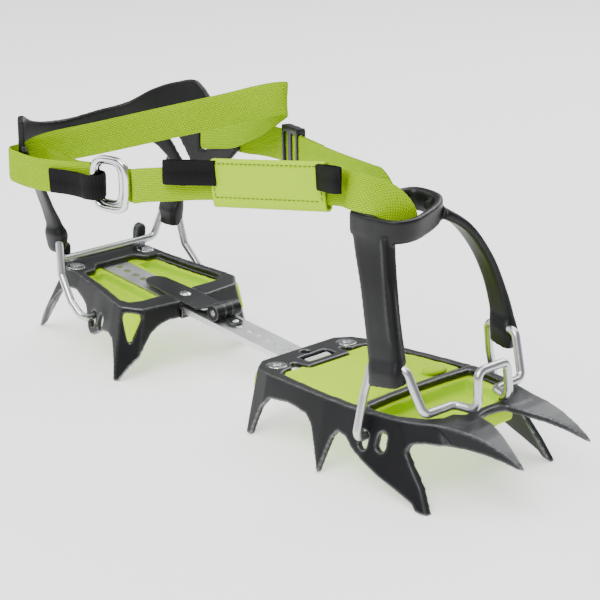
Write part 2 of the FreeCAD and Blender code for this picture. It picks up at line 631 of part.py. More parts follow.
NEAR_STRAP = [(96.0, -48.6, 109.6), (130.0, -38.6, 113.0), (160.0, -29.4, 115.6), (190.0, -20.4, 117.4),
              (206.0, -15.6, 118.0)]
FAR_STRAP = [(206.0, 2.6, 118.6), (190.0, 8.6, 118.4), (160.0, 19.4, 117.8), (130.0, 29.6, 117.0),
             (96.0, 41.4, 114.6), (72.0, 50.0, 110.8), (57.0, 54.4, 108.2), (36.0, 54.0, 107.6),
             (29.4, 53.2, 107.4)]
ANKLE_STRAP = [(31.0, 46.2, 107.4), (42.0, 47.0, 109.2), (54.0, 45.6, 112.0), (90.0, 34.6, 127.6),
               (113.6, 26.8, 142.2)]
ANKLE_RETURN = [(113.6, 24.0, 143.0), (90.0, 12.4, 135.4), (60.0, -4.0, 125.6), (30.0, -26.0, 115.6),
                (16.0, -37.0, 111.4), (13.0, -40.4, 110.2)]
ANCHOR_OUTER = [(50.0, -53.6, 104.4), (26.0, -58.6, 102.6), (13.0, -61.2, 103.6), (4.2, -61.9, 104.6)]
ANCHOR_INNER = [(4.2, -43.6, 104.6), (18.0, -46.4, 104.2), (50.0, -51.0, 104.4)]
TAB_WIDTH = 14.0
TAB_EYE_R = 4.2
RING_TILT = 15.0
RING_WIRE_R = 1.5
OUTER_RING = {"bar": (70.6, -57.0), "long": 20.0, "tall": 28.0, "z": 107.4}
INNER_RING = {"bar": (68.0, -53.2), "long": 15.5, "tall": 24.0, "z": 107.0}
SLEEVE_SPAN = (133.0, 188.0)
REAR_KEEPER_SPAN = (112.0, 132.0)
FRONT_KEEPER_SPAN = (189.0, 203.0)


def strap(route):
    return band(route, WEB_WIDTH, WEB_THICK)


def on_line(route, x):
    """Point where a strap's middle line passes a given X."""
    for a, b in zip(route, route[1:]):
        if min(a[0], b[0]) <= x <= max(a[0], b[0]):
            t = (x - a[0]) / (b[0] - a[0])
            return tuple(a[k] + t * (b[k] - a[k]) for k in range(3))
    return route[-1]


def webbing_eye(centre, height, inner_r, thick):
    """Turn of webbing round an upright bar."""
    x, y, z = centre
    low = V(x, y, z - height / 2)
    outer = Part.makeCylinder(inner_r + thick, height, low)
    return outer.cut(Part.makeCylinder(inner_r, height, low))


def ring_far_bar(ring):
    """Middle of the ring's bar away from its hinge."""
    turn = math.radians(RING_TILT)
    x, y = ring["bar"]
    return (x + ring["long"] * math.cos(turn), y + ring["long"] * math.sin(turn), ring["z"])


def strap_ring(ring):
    """Flat rounded ring of steel wire, standing on edge, hinged on its straight rear bar."""
    half = ring["tall"] / 2 - RING_WIRE_R
    x, y = ring["bar"]
    far_x, far_y, z = ring_far_bar(ring)
    route = [(x, y, z), (x, y, z + half), (far_x, far_y, z + half), (far_x, far_y, z - half),
             (x, y, z - half), (x, y, z)]
    return bent_tube(route, RING_WIRE_R, 4.0)


def binding_strap_near():
    eye_at = ring_far_bar(OUTER_RING)
    body = strap([(eye_at[0] + 1.6, eye_at[1] + 0.9, eye_at[2])] + NEAR_STRAP)
    eye = webbing_eye(eye_at, WEB_WIDTH, RING_WIRE_R + 0.3, WEB_THICK)
    bore = Part.makeCylinder(RING_WIRE_R + 0.3, 40, V(eye_at[0], eye_at[1], eye_at[2] - 20))
    return body.fuse(eye).cut(bore)


def anchor_loop():
    """Webbing from inside the cup, out through its near slot and forward again beside itself."""
    start = ANCHOR_OUTER[-1]
    turn = box(start[0], start[0] + WEB_THICK, start[1] - 0.5 * WEB_THICK,
               ANCHOR_INNER[0][1] + 0.5 * WEB_THICK,
               start[2] - 0.5 * WEB_WIDTH, start[2] + 0.5 * WEB_WIDTH)
    return fuse([strap(ANCHOR_OUTER), strap(ANCHOR_INNER), turn])


def buckle_tab():
    """Narrow tab sewn outside the anchor loop, its eye round both ring bars."""
    x = 0.5 * (OUTER_RING["bar"][0] + INNER_RING["bar"][0])
    y = 0.5 * (OUTER_RING["bar"][1] + INNER_RING["bar"][1])
    eye = webbing_eye((x, y, 107.2), TAB_WIDTH, TAB_EYE_R, WEB_THICK)
    strip = band([(28.0, -60.6, 103.4), (50.0, -56.0, 104.6), (x - 3.2, y - 2.6, 107.2)], TAB_WIDTH,
                 WEB_THICK)
    bore = Part.makeCylinder(TAB_EYE_R, 40, V(x, y, 90))
    return strip.fuse(eye).cut(bore)


def ankle_strap():
    """Webbing from the far slot, up to a fold in front of the ankle and back to the near slot."""
    fold = [(116.4, 25.4, 143.4)]
    return strap(ANKLE_STRAP + fold + ANKLE_RETURN)


def sleeve_on(route, span, width, height, gap):
    """Flat fabric tube round a strap, between two stations along X."""
    start, end = on_line(route, span[0]), on_line(route, span[1])
    outer = band([start, end], height, width)
    a, b = V(*start), V(*end)
    past = (b - a) * (4.0 / (b - a).Length)
    way = band([tuple(a - past), tuple(b + past)], WEB_WIDTH + 2 * gap, WEB_THICK + 2 * gap)
    return outer.cut(way)


def slider_buckle():
    """Flat ladder slider with three bars that the far strap is threaded through."""
    mid = on_line(FAR_STRAP, 113.0)
    before, after = on_line(FAR_STRAP, 106.0), on_line(FAR_STRAP, 120.0)
    run = V(after[0] - before[0], after[1] - before[1], after[2] - before[2]).normalize()
    half_long = 9.5
    centre = V(*mid)
    a, b = centre - run * half_long, centre + run * half_long
    outer = band([tuple(a), tuple(b)], WEB_WIDTH + 7.0, 5.0)
    room = band([tuple(a - run * 4), tuple(b + run * 4)], WEB_WIDTH + 0.8, WEB_THICK + 0.8)
    windows = []
    for along_it in (-4.6, 4.6):
        c = centre + run * along_it
        windows.append(band([tuple(c - run * 2.3), tuple(c + run * 2.3)], WEB_WIDTH + 0.8, 12.0))
    return outer.cut([room] + windows)


def publish(node, shape):
    shape.translate(ORIGIN * -1)
    if not shape.isValid():
        print("INVALID", node)
    shape.exportStep("parts/" + node + ".step")
    b = shape.BoundBox
    print("%-22s vol %9.1f solids %d  x %.1f..%.1f y %.1f..%.1f z %.1f..%.1f" % (
        node, shape.Volume, len(shape.Solids), b.XMin, b.XMax, b.YMin, b.YMax, b.ZMin, b.ZMax))
    return b


def main():
    os.makedirs("parts", exist_ok=True)
    nodes = {
        "front_frame": front_frame(),
        "front_antiball_plate": front_antiball_plate(),
        "front_plate_screws": countersunk_screws(0.4, FRONT_SCREW_Y, on_front),
        "heel_frame": heel_frame(),
        "heel_antiball_plate": heel_antiball_plate(),
        "heel_plate_screws": countersunk_screws(0.0, HEEL_SCREW_Y, on_heel),
        "link_bar": link_bar(),
        "bar_guide": bar_guide(),
        "lever_leaf": lever_leaf(),
        "lever_rivet": lever_rivet(),
        "lever_hinge_pin": lever_hinge_pin(),
        "lock_tab": lock_tab(),
        "locking_pin": locking_pin(),
        "heel_wire": heel_wire(),
        "front_wire": front_wire(),
        "toe_basket": toe_basket(),
        "heel_cup": heel_cup(),
        "anchor_loop": anchor_loop(),
        "buckle_tab": buckle_tab(),
        "ring_outer": strap_ring(OUTER_RING),
        "ring_inner": strap_ring(INNER_RING),
        "binding_strap_near": binding_strap_near(),
        "binding_strap_far": strap(FAR_STRAP),
        "ankle_strap": ankle_strap(),
        "label_sleeve": sleeve_on(NEAR_STRAP, SLEEVE_SPAN, 7.0, 25.0, 0.7),
        "keeper_loop_rear": sleeve_on(NEAR_STRAP, REAR_KEEPER_SPAN, 6.4, 21.4, 0.5),
        "keeper_loop_front": sleeve_on(NEAR_STRAP, FRONT_KEEPER_SPAN, 6.4, 21.4, 0.5),
        "slider_buckle": slider_buckle(),
    }
    whole = FreeCAD.BoundBox()
    for node, shape in nodes.items():
        whole.add(publish(node, shape))
    print("whole", whole)


main()
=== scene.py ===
import json
import logging
import math
from dataclasses import dataclass, field
from enum import Enum
from typing import Iterable, Sequence

import bmesh
import bpy
from mathutils import Matrix, Vector

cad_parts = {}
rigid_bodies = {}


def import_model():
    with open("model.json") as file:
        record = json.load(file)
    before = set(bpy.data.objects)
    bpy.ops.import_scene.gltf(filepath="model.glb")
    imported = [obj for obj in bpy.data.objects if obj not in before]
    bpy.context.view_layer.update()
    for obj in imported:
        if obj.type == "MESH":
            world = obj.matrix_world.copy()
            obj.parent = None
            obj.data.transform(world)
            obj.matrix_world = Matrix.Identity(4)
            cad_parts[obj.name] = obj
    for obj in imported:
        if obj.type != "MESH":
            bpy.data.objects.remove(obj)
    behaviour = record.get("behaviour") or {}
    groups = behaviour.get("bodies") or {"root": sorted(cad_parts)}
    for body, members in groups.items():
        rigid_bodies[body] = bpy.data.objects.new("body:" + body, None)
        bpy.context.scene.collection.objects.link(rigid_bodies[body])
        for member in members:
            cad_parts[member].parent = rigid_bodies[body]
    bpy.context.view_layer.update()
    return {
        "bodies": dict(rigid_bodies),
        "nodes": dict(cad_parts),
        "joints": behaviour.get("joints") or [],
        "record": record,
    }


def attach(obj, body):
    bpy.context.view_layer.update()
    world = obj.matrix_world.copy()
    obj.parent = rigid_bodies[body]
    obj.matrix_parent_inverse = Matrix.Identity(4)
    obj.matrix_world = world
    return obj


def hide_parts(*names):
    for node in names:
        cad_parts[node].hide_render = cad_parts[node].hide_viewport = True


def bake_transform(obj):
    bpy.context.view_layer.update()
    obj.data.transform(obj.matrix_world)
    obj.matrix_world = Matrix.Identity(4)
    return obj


LOG = logging.getLogger("crampon")
MM = 0.001
# The layout's zero in the frame's own axes, in millimetres: the heel frame's rear edge on the centre line.
LAYOUT_ZERO = Vector((-144.517, 3.73, 0.0))
HEEL_BASE, HEEL_PITCH = Vector((8.0, 0.0, 42.0)), math.radians(4.57)
FRONT_BASE, FRONT_PITCH = Vector((165.0, 0.0, 31.0)), math.radians(-2.78)

Point = Sequence[float]


def at(point: Point) -> Vector:
    """Place in the scene of a layout point given in millimetres.

    Args:
        point: X, Y and Z from the layout's zero.

    Returns:
        The same place in metres, in the frame's axes.
    """
    return (Vector(point) + LAYOUT_ZERO) * MM


def in_plane(base: Vector, pitch: float) -> Matrix:
    """Transform from a steel frame's own plane, in millimetres, to the scene.

    Args:
        base: layout place of the frame's zero.
        pitch: how far the frame is tipped about Y, in radians.

    Returns:
        A matrix for bmesh transforms.
    """
    move = Matrix.Translation(at(base))
    return move @ Matrix.Rotation(pitch, 4, "Y") @ Matrix.Scale(MM, 4)


OUTLINE_DEPTH = 42.0
ON_HEEL = in_plane(HEEL_BASE, HEEL_PITCH)
ON_FRONT = in_plane(FRONT_BASE, FRONT_PITCH)


class Body(Enum):
    """The moving bodies that pieces ride on."""

    FRONT = "front_section"
    BAR = "bar"
    HEEL = "heel_section"
    LEVER = "lock_lever"
    TOE_BAIL = "toe_bail"
    HEEL_BAIL = "heel_bail"
    OUTER_RING = "outer_ring"
    INNER_RING = "inner_ring"
    SLEEVE = "sleeve"
    SLIDER = "slider"


# ------------------------------------------------------------------ shader building


class Nodes:
    """Short hand for building one node tree."""

    def __init__(self, tree: bpy.types.NodeTree) -> None:
        """Keeps the tree that nodes are added to."""
        self.tree = tree

    def add(self, kind: str, inputs: dict | None = None, **settings: object) -> bpy.types.Node:
        """Adds a node.

        Args:
            kind: the node's type name.
            inputs: values or sockets for its inputs, by name or index.
            settings: attributes of the node itself.

        Returns:
            The new node.
        """
        node = self.tree.nodes.new(kind)
        for name, value in settings.items():
            setattr(node, name, value)
        for key, value in (inputs or {}).items():
            if isinstance(value, bpy.types.NodeSocket):
                self.tree.links.new(value, node.inputs[key])
            else:
                node.inputs[key].default_value = value
        return node

    def math(self, operation: str, a: object, b: object = 0.0, clamp: bool = False) -> bpy.types.NodeSocket:
        """Adds one math step and gives its output."""
        node = self.add("ShaderNodeMath", {0: a, 1: b}, operation=operation, use_clamp=clamp)
        return node.outputs[0]

    def mix(self, factor: object, a: object, b: object) -> bpy.types.NodeSocket:
        """Blends two colours by a factor and gives the result."""
        node = self.tree.nodes.new("ShaderNodeMix")
        node.data_type = "RGBA"
        for socket, value in ((node.inputs[0], factor), (node.inputs[6], a), (node.inputs[7], b)):
            if isinstance(value, bpy.types.NodeSocket):
                self.tree.links.new(value, socket)
            else:
                socket.default_value = value
        return node.outputs[2]


def new_group(name: str, inputs: dict[str, tuple[str, object]], outputs: dict[str, str]) -> tuple:
    """Starts a node group with named sockets.

    Args:
        name: the group's name.
        inputs: socket type and default for each input.
        outputs: socket type for each output.

    Returns:
        The group, its node builder, its input node and its output node.
    """
    group = bpy.data.node_groups.new(name, "ShaderNodeTree")
    for label, (kind, default) in inputs.items():
        socket = group.interface.new_socket(name=label, in_out="INPUT", socket_type=kind)
        if default is not None:
            socket.default_value = default
    for label, kind in outputs.items():
        group.interface.new_socket(name=label, in_out="OUTPUT", socket_type=kind)
    nodes = Nodes(group)
    return group, nodes, nodes.add("NodeGroupInput"), nodes.add("NodeGroupOutput")


def edge_wear_and_highlight_group() -> bpy.types.NodeTree:
    """Mask that is 1 on the outer edges of a piece, broken up by noise; it marks real edge wear and also where
    a painted edge highlight goes.

    Returns:
        The node group with outputs Mask and Mottle.
    """
    group, nodes, given, result = new_group(
        "Edge wear",
        {"Width": ("NodeSocketFloat", 0.001), "Strength": ("NodeSocketFloat", 1.0)},
        {"Mask": "NodeSocketFloat", "Mottle": "NodeSocketFloat"})
    rounded = nodes.add("ShaderNodeBevel", {"Radius": given.outputs["Width"]}, samples=6)
    flat = nodes.add("ShaderNodeNewGeometry")
    dot = nodes.add("ShaderNodeVectorMath", {0: rounded.outputs[0], 1: flat.outputs["Normal"]},
                    operation="DOT_PRODUCT")
    bent = nodes.math("SUBTRACT", 1.0, dot.outputs["Value"])
    place = nodes.add("ShaderNodeTexCoord")
    noise = nodes.add("ShaderNodeTexNoise", {"Vector": place.outputs["Object"], "Scale": 260.0, "Detail": 4.0})
    uneven = nodes.math("ADD", nodes.math("MULTIPLY", noise.outputs[0], 0.9), 0.55)
    worn = nodes.math("MULTIPLY", nodes.math("MULTIPLY", bent, given.outputs["Strength"]), uneven, clamp=True)
    nodes.tree.links.new(worn, result.inputs["Mask"])
    nodes.tree.links.new(noise.outputs[0], result.inputs["Mottle"])
    return group


def weave_group() -> bpy.types.NodeTree:
    """Plain weave on a UV map in millimetres.

    Returns:
        The node group with outputs Height and Shade.
    """
    group, nodes, given, result = new_group(
        "Webbing weave",
        {"Long": ("NodeSocketFloat", 1.6), "Row": ("NodeSocketFloat", 0.8)},
        {"Height": "NodeSocketFloat", "Shade": "NodeSocketFloat"})
    place = nodes.add("ShaderNodeTexCoord")
    split = nodes.add("ShaderNodeSeparateXYZ", {0: place.outputs["UV"]})
    rows = nodes.math("DIVIDE", split.outputs[1], given.outputs["Row"])
    odd = nodes.math("MULTIPLY", nodes.math("MODULO", nodes.math("FLOOR", nodes.math("ABSOLUTE", rows)),
                                            2.0), 0.5)
    cols = nodes.math("ADD", nodes.math("DIVIDE", split.outputs[0], given.outputs["Long"]), odd)
    across_it = nodes.math("ABSOLUTE", nodes.math("SINE", nodes.math("MULTIPLY", rows, math.pi)))
    along_it = nodes.math("ABSOLUTE", nodes.math("SINE", nodes.math("MULTIPLY", cols, math.pi)))
    thread = nodes.math("MULTIPLY", nodes.math("POWER", across_it, 0.6), nodes.math("POWER", along_it, 0.5))
    noise = nodes.add("ShaderNodeTexNoise", {"Vector": place.outputs["UV"], "Scale": 1.4, "Detail": 3.0})
    height = nodes.math("ADD", thread, nodes.math("MULTIPLY", noise.outputs[0], 0.25))
    nodes.tree.links.new(height, result.inputs["Height"])
    # Shade is the thread pattern, used by the finishes as painted shade in the gaps between threads.
    nodes.tree.links.new(thread, result.inputs["Shade"])
    return group


class Effects:
    """The shader node groups that several finishes share, each built once."""

    def __init__(self) -> None:
        """Builds both groups."""
        self.wear_and_highlight = edge_wear_and_highlight_group()
        self.weave = weave_group()


def start_material(name: str) -> tuple[bpy.types.Material, Nodes, bpy.types.Node]:
    """Starts a material with a Principled shader.

    Args:
        name: the material's name.

    Returns:
        The material, its node builder and its Principled node.
    """
    material = bpy.data.materials.new(name)
    material.use_nodes = True
    nodes = Nodes(material.node_tree)
    shader = next(n for n in material.node_tree.nodes if n.type == "BSDF_PRINCIPLED")
    return material, nodes, shader


def bump(nodes: Nodes, shader: bpy.types.Node, height: bpy.types.NodeSocket, depth: float,
         strength: float = 1.0) -> None:
    """Feeds a height into the shader's normal, depth in metres."""
    node = nodes.add("ShaderNodeBump", {"Height": height, "Distance": depth, "Strength": strength})
    nodes.tree.links.new(node.outputs[0], shader.inputs["Normal"])


@dataclass(frozen=True)
class CoatedSteel:
    """Blackened steel whose edges show lighter metal, partly real wear and partly a painted highlight; faces
    that turn upwards are painted lighter, as painted light from above.
    """

    name: str
    coat: tuple = (0.008, 0.0082, 0.009, 1.0)
    # Edge colour: bare metal from wear, and a painted highlight along the edges.
    bare_metal_and_highlight: tuple = (0.42, 0.43, 0.44, 1.0)
    # Lighter colour painted on faces that turn upwards: painted light from above.
    top: tuple = (0.040, 0.041, 0.043, 1.0)
    roughness: float = 0.34
    wear_and_highlight_width: float = 0.0009
    wear_and_highlight_strength: float = 9.0

    def build(self, effects: Effects) -> bpy.types.Material:
        """Makes the material.

        Args:
            effects: the shared node groups.

        Returns:
            The material.
        """
        material, nodes, shader = start_material(self.name)
        wear_and_highlight = nodes.add("ShaderNodeGroup", node_tree=effects.wear_and_highlight)
        wear_and_highlight.inputs["Width"].default_value = self.wear_and_highlight_width
        wear_and_highlight.inputs["Strength"].default_value = self.wear_and_highlight_strength
        place = nodes.add("ShaderNodeTexCoord")
        cloud = nodes.add("ShaderNodeTexNoise", {"Vector": place.outputs["Object"], "Scale": 38.0,
                                                 "Detail": 5.0})
        grain = nodes.add("ShaderNodeTexNoise", {"Vector": place.outputs["Object"], "Scale": 900.0,
                                                 "Detail": 2.0})
        dark = tuple(0.7 * c for c in self.coat[:3]) + (1.0,)
        light = tuple(1.6 * c for c in self.coat[:3]) + (1.0,)
        # Painted light: faces that turn upwards are blended towards the lighter top colour, as if lit from
        # above; the coat below carries this painted light.
        upright = nodes.add("ShaderNodeSeparateXYZ", {"Vector": place.outputs["Normal"]})
        painted_top_light = nodes.math("MULTIPLY", nodes.math("SUBTRACT", upright.outputs["Z"], 0.30), 1.6, clamp=True)
        coat = nodes.mix(painted_top_light, nodes.mix(cloud.outputs[0], dark, light), self.top)
        # Edges blend to the lighter edge colour: partly real wear, partly a painted highlight.
        colour = nodes.mix(wear_and_highlight.outputs["Mask"], coat, self.bare_metal_and_highlight)
        nodes.tree.links.new(colour, shader.inputs["Base Color"])
        rough = nodes.math("ADD", nodes.math("MULTIPLY", cloud.outputs[0], 0.16), self.roughness - 0.08)
        nodes.tree.links.new(rough, shader.inputs["Roughness"])
        shader.inputs["Specular IOR Level"].default_value = 0.3
        metal = nodes.math("ADD", nodes.math("MULTIPLY", wear_and_highlight.outputs["Mask"], 0.5), 0.45)
        nodes.tree.links.new(metal, shader.inputs["Metallic"])
        bump(nodes, shader, grain.outputs[0], 0.00004, 0.5)
        return material


@dataclass(frozen=True)
class BrightSteel:
    """Satin or polished steel with fine drawing marks."""

    name: str
    colour: tuple = (0.66, 0.67, 0.68, 1.0)
    roughness: float = 0.24
    marks: float = 0.10

    def build(self, effects: Effects) -> bpy.types.Material:
        """Makes the material.

        Args:
            effects: the shared node groups.

        Returns:
            The material.
        """
        material, nodes, shader = start_material(self.name)
        place = nodes.add("ShaderNodeTexCoord")
        cloud = nodes.add("ShaderNodeTexNoise", {"Vector": place.outputs["Object"], "Scale": 70.0,
                                                 "Detail": 6.0})
        fine = nodes.add("ShaderNodeTexNoise", {"Vector": place.outputs["Object"], "Scale": 1500.0,
                                                "Detail": 3.0})
        wear_and_highlight = nodes.add("ShaderNodeGroup", node_tree=effects.wear_and_highlight)
        wear_and_highlight.inputs["Width"].default_value = 0.0004
        wear_and_highlight.inputs["Strength"].default_value = 2.0
        dull = tuple(0.72 * c for c in self.colour[:3]) + (1.0,)
        shade = nodes.mix(cloud.outputs[0], dull, self.colour)
        # Edges blend towards near white: a painted highlight along the edges, with some wear.
        bright = nodes.mix(nodes.math("MULTIPLY", wear_and_highlight.outputs["Mask"], 0.6), shade, (0.86, 0.86, 0.87, 1.0))
        nodes.tree.links.new(bright, shader.inputs["Base Color"])
        shader.inputs["Metallic"].default_value = 1.0
        rough = nodes.math("ADD", nodes.math("MULTIPLY", cloud.outputs[0], self.marks), self.roughness)
        nodes.tree.links.new(rough, shader.inputs["Roughness"])
        bump(nodes, shader, fine.outputs[0], 0.00002, 0.4)
        return material


@dataclass(frozen=True)
class Moulded:
    """Moulded plastic or elastomer with a fine satin skin."""

    name: str
    colour: tuple
    roughness: float = 0.45
    grain_depth: float = 0.00003
    grain_scale: float = 1100.0
    wear_and_highlight_colour: tuple | None = None
    wear_and_highlight_strength: float = 2.5
    mottle: float = 0.12
    gloss: float = 0.5

    def build(self, effects: Effects) -> bpy.types.Material:
        """Makes the material.

        Args:
            effects: the shared node groups.

        Returns:
            The material.
        """
        material, nodes, shader = start_material(self.name)
        place = nodes.add("ShaderNodeTexCoord")
        cloud = nodes.add("ShaderNodeTexNoise", {"Vector": place.outputs["Object"], "Scale": 30.0,
                                                 "Detail": 4.0})
        grain = nodes.add("ShaderNodeTexNoise",
                          {"Vector": place.outputs["Object"], "Scale": self.grain_scale, "Detail": 2.0})
        low = tuple(c * (1.0 - self.mottle) for c in self.colour[:3]) + (1.0,)
        high = tuple(c * (1.0 + self.mottle) for c in self.colour[:3]) + (1.0,)
        colour = nodes.mix(cloud.outputs[0], low, high)
        if self.wear_and_highlight_colour is not None:
            wear_and_highlight = nodes.add("ShaderNodeGroup", node_tree=effects.wear_and_highlight)
            wear_and_highlight.inputs["Width"].default_value = 0.0008
            wear_and_highlight.inputs["Strength"].default_value = self.wear_and_highlight_strength
            # Edges blend to the lighter edge colour: partly real wear, partly a painted edge highlight.
            colour = nodes.mix(wear_and_highlight.outputs["Mask"], colour, self.wear_and_highlight_colour)
        nodes.tree.links.new(colour, shader.inputs["Base Color"])
        rough = nodes.math("ADD", nodes.math("MULTIPLY", cloud.outputs[0], 0.14), self.roughness - 0.07)
        nodes.tree.links.new(rough, shader.inputs["Roughness"])
        shader.inputs["Specular IOR Level"].default_value = self.gloss
        bump(nodes, shader, grain.outputs[0], self.grain_depth, 0.6)
        return material


@dataclass(frozen=True)
class Woven:
    """Webbing or coated cloth, patterned on the piece's own UV map in millimetres."""

    name: str
    colour: tuple
    # Colour of the gaps between threads, darker as painted shade on the webbings.
    valley: tuple
    thread_long: float = 1.7
    thread_row: float = 0.85
    depth: float = 0.00035
    strength: float = 0.9
    sheen: float = 0.0
    gloss: float = 0.06
    roughness: float = 0.78

    def build(self, effects: Effects) -> bpy.types.Material:
        """Makes the material.

        Args:
            effects: the shared node groups.

        Returns:
            The material.
        """
        material, nodes, shader = start_material(self.name)
        weave = nodes.add("ShaderNodeGroup", node_tree=effects.weave)
        weave.inputs["Long"].default_value = self.thread_long
        weave.inputs["Row"].default_value = self.thread_row
        place = nodes.add("ShaderNodeTexCoord")
        cloud = nodes.add("ShaderNodeTexNoise", {"Vector": place.outputs["Object"], "Scale": 45.0,
                                                 "Detail": 5.0})
        # Painted shade: the low parts between threads take the valley colour, darker than the threads on both
        # webbings.
        thread = nodes.mix(weave.outputs["Shade"], self.valley, self.colour)
        faded = tuple(min(1.0, 1.12 * c) for c in self.colour[:3]) + (1.0,)
        colour = nodes.mix(nodes.math("MULTIPLY", cloud.outputs[0], 0.35), thread, faded)
        nodes.tree.links.new(colour, shader.inputs["Base Color"])
        shader.inputs["Roughness"].default_value = self.roughness
        shader.inputs["Specular IOR Level"].default_value = self.gloss
        shader.inputs["Sheen Weight"].default_value = self.sheen
        shader.inputs["Sheen Roughness"].default_value = 0.5
        bump(nodes, shader, weave.outputs["Height"], self.depth, self.strength)
        return material


class Palette:
    """Every finish on the crampon, as materials."""

    def __init__(self) -> None:
        """Builds all the materials."""
        effects = Effects()
        lime = (0.46, 0.72, 0.0, 1.0)
        # The frames' wider edge mask paints a highlight along the rolled edges besides the wear.
        self.frame_steel = CoatedSteel("Blackened frame steel", wear_and_highlight_width=0.0016).build(effects)
        self.sheet_steel = CoatedSteel("Black spring sheet", bare_metal_and_highlight=(0.30, 0.30, 0.31, 1.0),
                                       wear_and_highlight_strength=5.0).build(effects)
        self.wire_steel = BrightSteel("Satin wire", roughness=0.26).build(effects)
        self.ring_steel = BrightSteel("Polished ring", colour=(0.80, 0.81, 0.82, 1.0),
                                      roughness=0.12).build(effects)
        self.bar_steel = BrightSteel("Brushed bar", colour=(0.90, 0.91, 0.92, 1.0),
                                     roughness=0.40).build(effects)
        self.screw_steel = BrightSteel("Plated screw", colour=(0.78, 0.78, 0.80, 1.0),
                                       roughness=0.18).build(effects)
        self.lime_rubber = Moulded("Lime elastomer", colour=lime, roughness=0.42, mottle=0.06,
                                   gloss=0.06).build(effects)
        self.black_plastic = Moulded("Dark flexible plastic", colour=(0.005, 0.0052, 0.0058, 1.0),
                                     roughness=0.40,
                                     wear_and_highlight_colour=(0.03, 0.03, 0.033, 1.0), gloss=0.3).build(effects)
        self.buckle_plastic = Moulded("Black buckle plastic", colour=(0.008, 0.0082, 0.009, 1.0),
                                      roughness=0.30,
                                      wear_and_highlight_colour=(0.05, 0.05, 0.054, 1.0), gloss=0.35).build(effects)
        self.lime_webbing = Woven("Lime webbing", colour=(0.37, 0.60, 0.0, 1.0),
                                  valley=(0.10, 0.22, 0.0, 1.0)).build(effects)
        self.black_webbing = Woven("Black ribbed webbing", colour=(0.016, 0.016, 0.017, 1.0),
                                   valley=(0.003, 0.003, 0.0035, 1.0), thread_long=1.3, thread_row=40.0,
                                   depth=0.0005, roughness=0.7).build(effects)
        self.label_cloth = Woven("Coated lime cloth", colour=(0.37, 0.60, 0.0, 1.0),
                                 valley=(0.40, 0.64, 0.0, 1.0), thread_long=0.5, thread_row=0.5, depth=0.00005,
                                 strength=0.5, roughness=0.5).build(effects)
        self.dark_thread = Moulded("Dark thread", colour=(0.05, 0.09, 0.01, 1.0), roughness=0.7).build(effects)


# ------------------------------------------------------------------ mesh building


def add_piece(name: str, bm: bmesh.types.BMesh, material: bpy.types.Material, smooth_angle: float = 40.0) \
        -> bpy.types.Object:
    """Turns a bmesh in metres into a finished object.

    Args:
        name: the piece's name.
        bm: its mesh, freed afterwards.
        material: its finish.
        smooth_angle: faces that meet under this many degrees are shaded as one surface.

    Returns:
        The new object, linked to the scene.
    """
    mesh = bpy.data.meshes.new(name)
    bm.to_mesh(mesh)
    bm.free()
    mesh.shade_smooth()
    mesh.set_sharp_from_angle(angle=math.radians(smooth_angle))
    piece = bpy.data.objects.new(name, mesh)
    bpy.context.scene.collection.objects.link(piece)
    piece.data.materials.append(material)
    return piece


def settle(piece: bpy.types.Object, body: Body, slot: str, *nodes: str) -> bpy.types.Object:
    """Fixes a rigid piece to its body and hides the design nodes that it stands for.

    Args:
        piece: the finished piece.
        body: the body it rides on.
        slot: the record's material slot; not used.
        nodes: the design nodes that it replaces.

    Returns:
        The same piece.
    """
    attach(piece, body.value)
    if nodes:
        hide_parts(*nodes)
    LOG.info("%s rides on %s", piece.name, body.value)
    return piece


def merged_copy(frame: dict, node: str) -> bmesh.types.BMesh:
    """Copy of a design node's mesh with its loose triangles joined.

    Args:
        frame: the loaded frame.
        node: the node's name.

    Returns:
        A bmesh in metres.
    """
    bm = bmesh.new()
    bm.from_mesh(frame["nodes"][node].data)
    bmesh.ops.remove_doubles(bm, verts=bm.verts, dist=0.000004)
    bmesh.ops.dissolve_degenerate(bm, edges=bm.edges, dist=0.000004)
    return bm


def baked(piece: bpy.types.Object) -> None:
    """Applies a piece's modifiers to its mesh."""
    graph = bpy.context.evaluated_depsgraph_get()
    mesh = bpy.data.meshes.new_from_object(piece.evaluated_get(graph))
    old = piece.data
    piece.modifiers.clear()
    piece.data = mesh
    mesh.name = piece.name
    bpy.data.meshes.remove(old)


def flowed(piece: bpy.types.Object, voxel: float, passes: int, factor: float = 0.5) -> bpy.types.Object:
    """Remeshes a piece evenly and lets its edges flow together, as forging or moulding does.

    Args:
        piece: the piece to change.
        voxel: the remesh size in metres.
        passes: how many smoothing passes follow.
        factor: how far each pass moves a point.

    Returns:
        The same piece.
    """
    remesh = piece.modifiers.new("Even skin", "REMESH")
    remesh.mode = "VOXEL"
    remesh.voxel_size = voxel
    remesh.use_smooth_shade = True
    if passes:
        smooth = piece.modifiers.new("Flow", "SMOOTH")
        smooth.factor = factor
        smooth.iterations = passes
    baked(piece)
    return piece


def eased(piece: bpy.types.Object, width: float, segments: int = 2, angle: float = 32.0) -> bpy.types.Object:
    """Breaks a piece's sharp edges with a small round.

    Args:
        piece: the piece to change.
        width: the round's width in metres.
        segments: how many faces make the round.
        angle: only edges sharper than this many degrees are broken.

    Returns:
        The same piece.
    """
    ease = piece.modifiers.new("Broken edges", "BEVEL")
    ease.width = width
    ease.segments = segments
    ease.limit_method = "ANGLE"
    ease.angle_limit = math.radians(angle)
    ease.harden_normals = False
    ease.use_clamp_overlap = True
    return piece


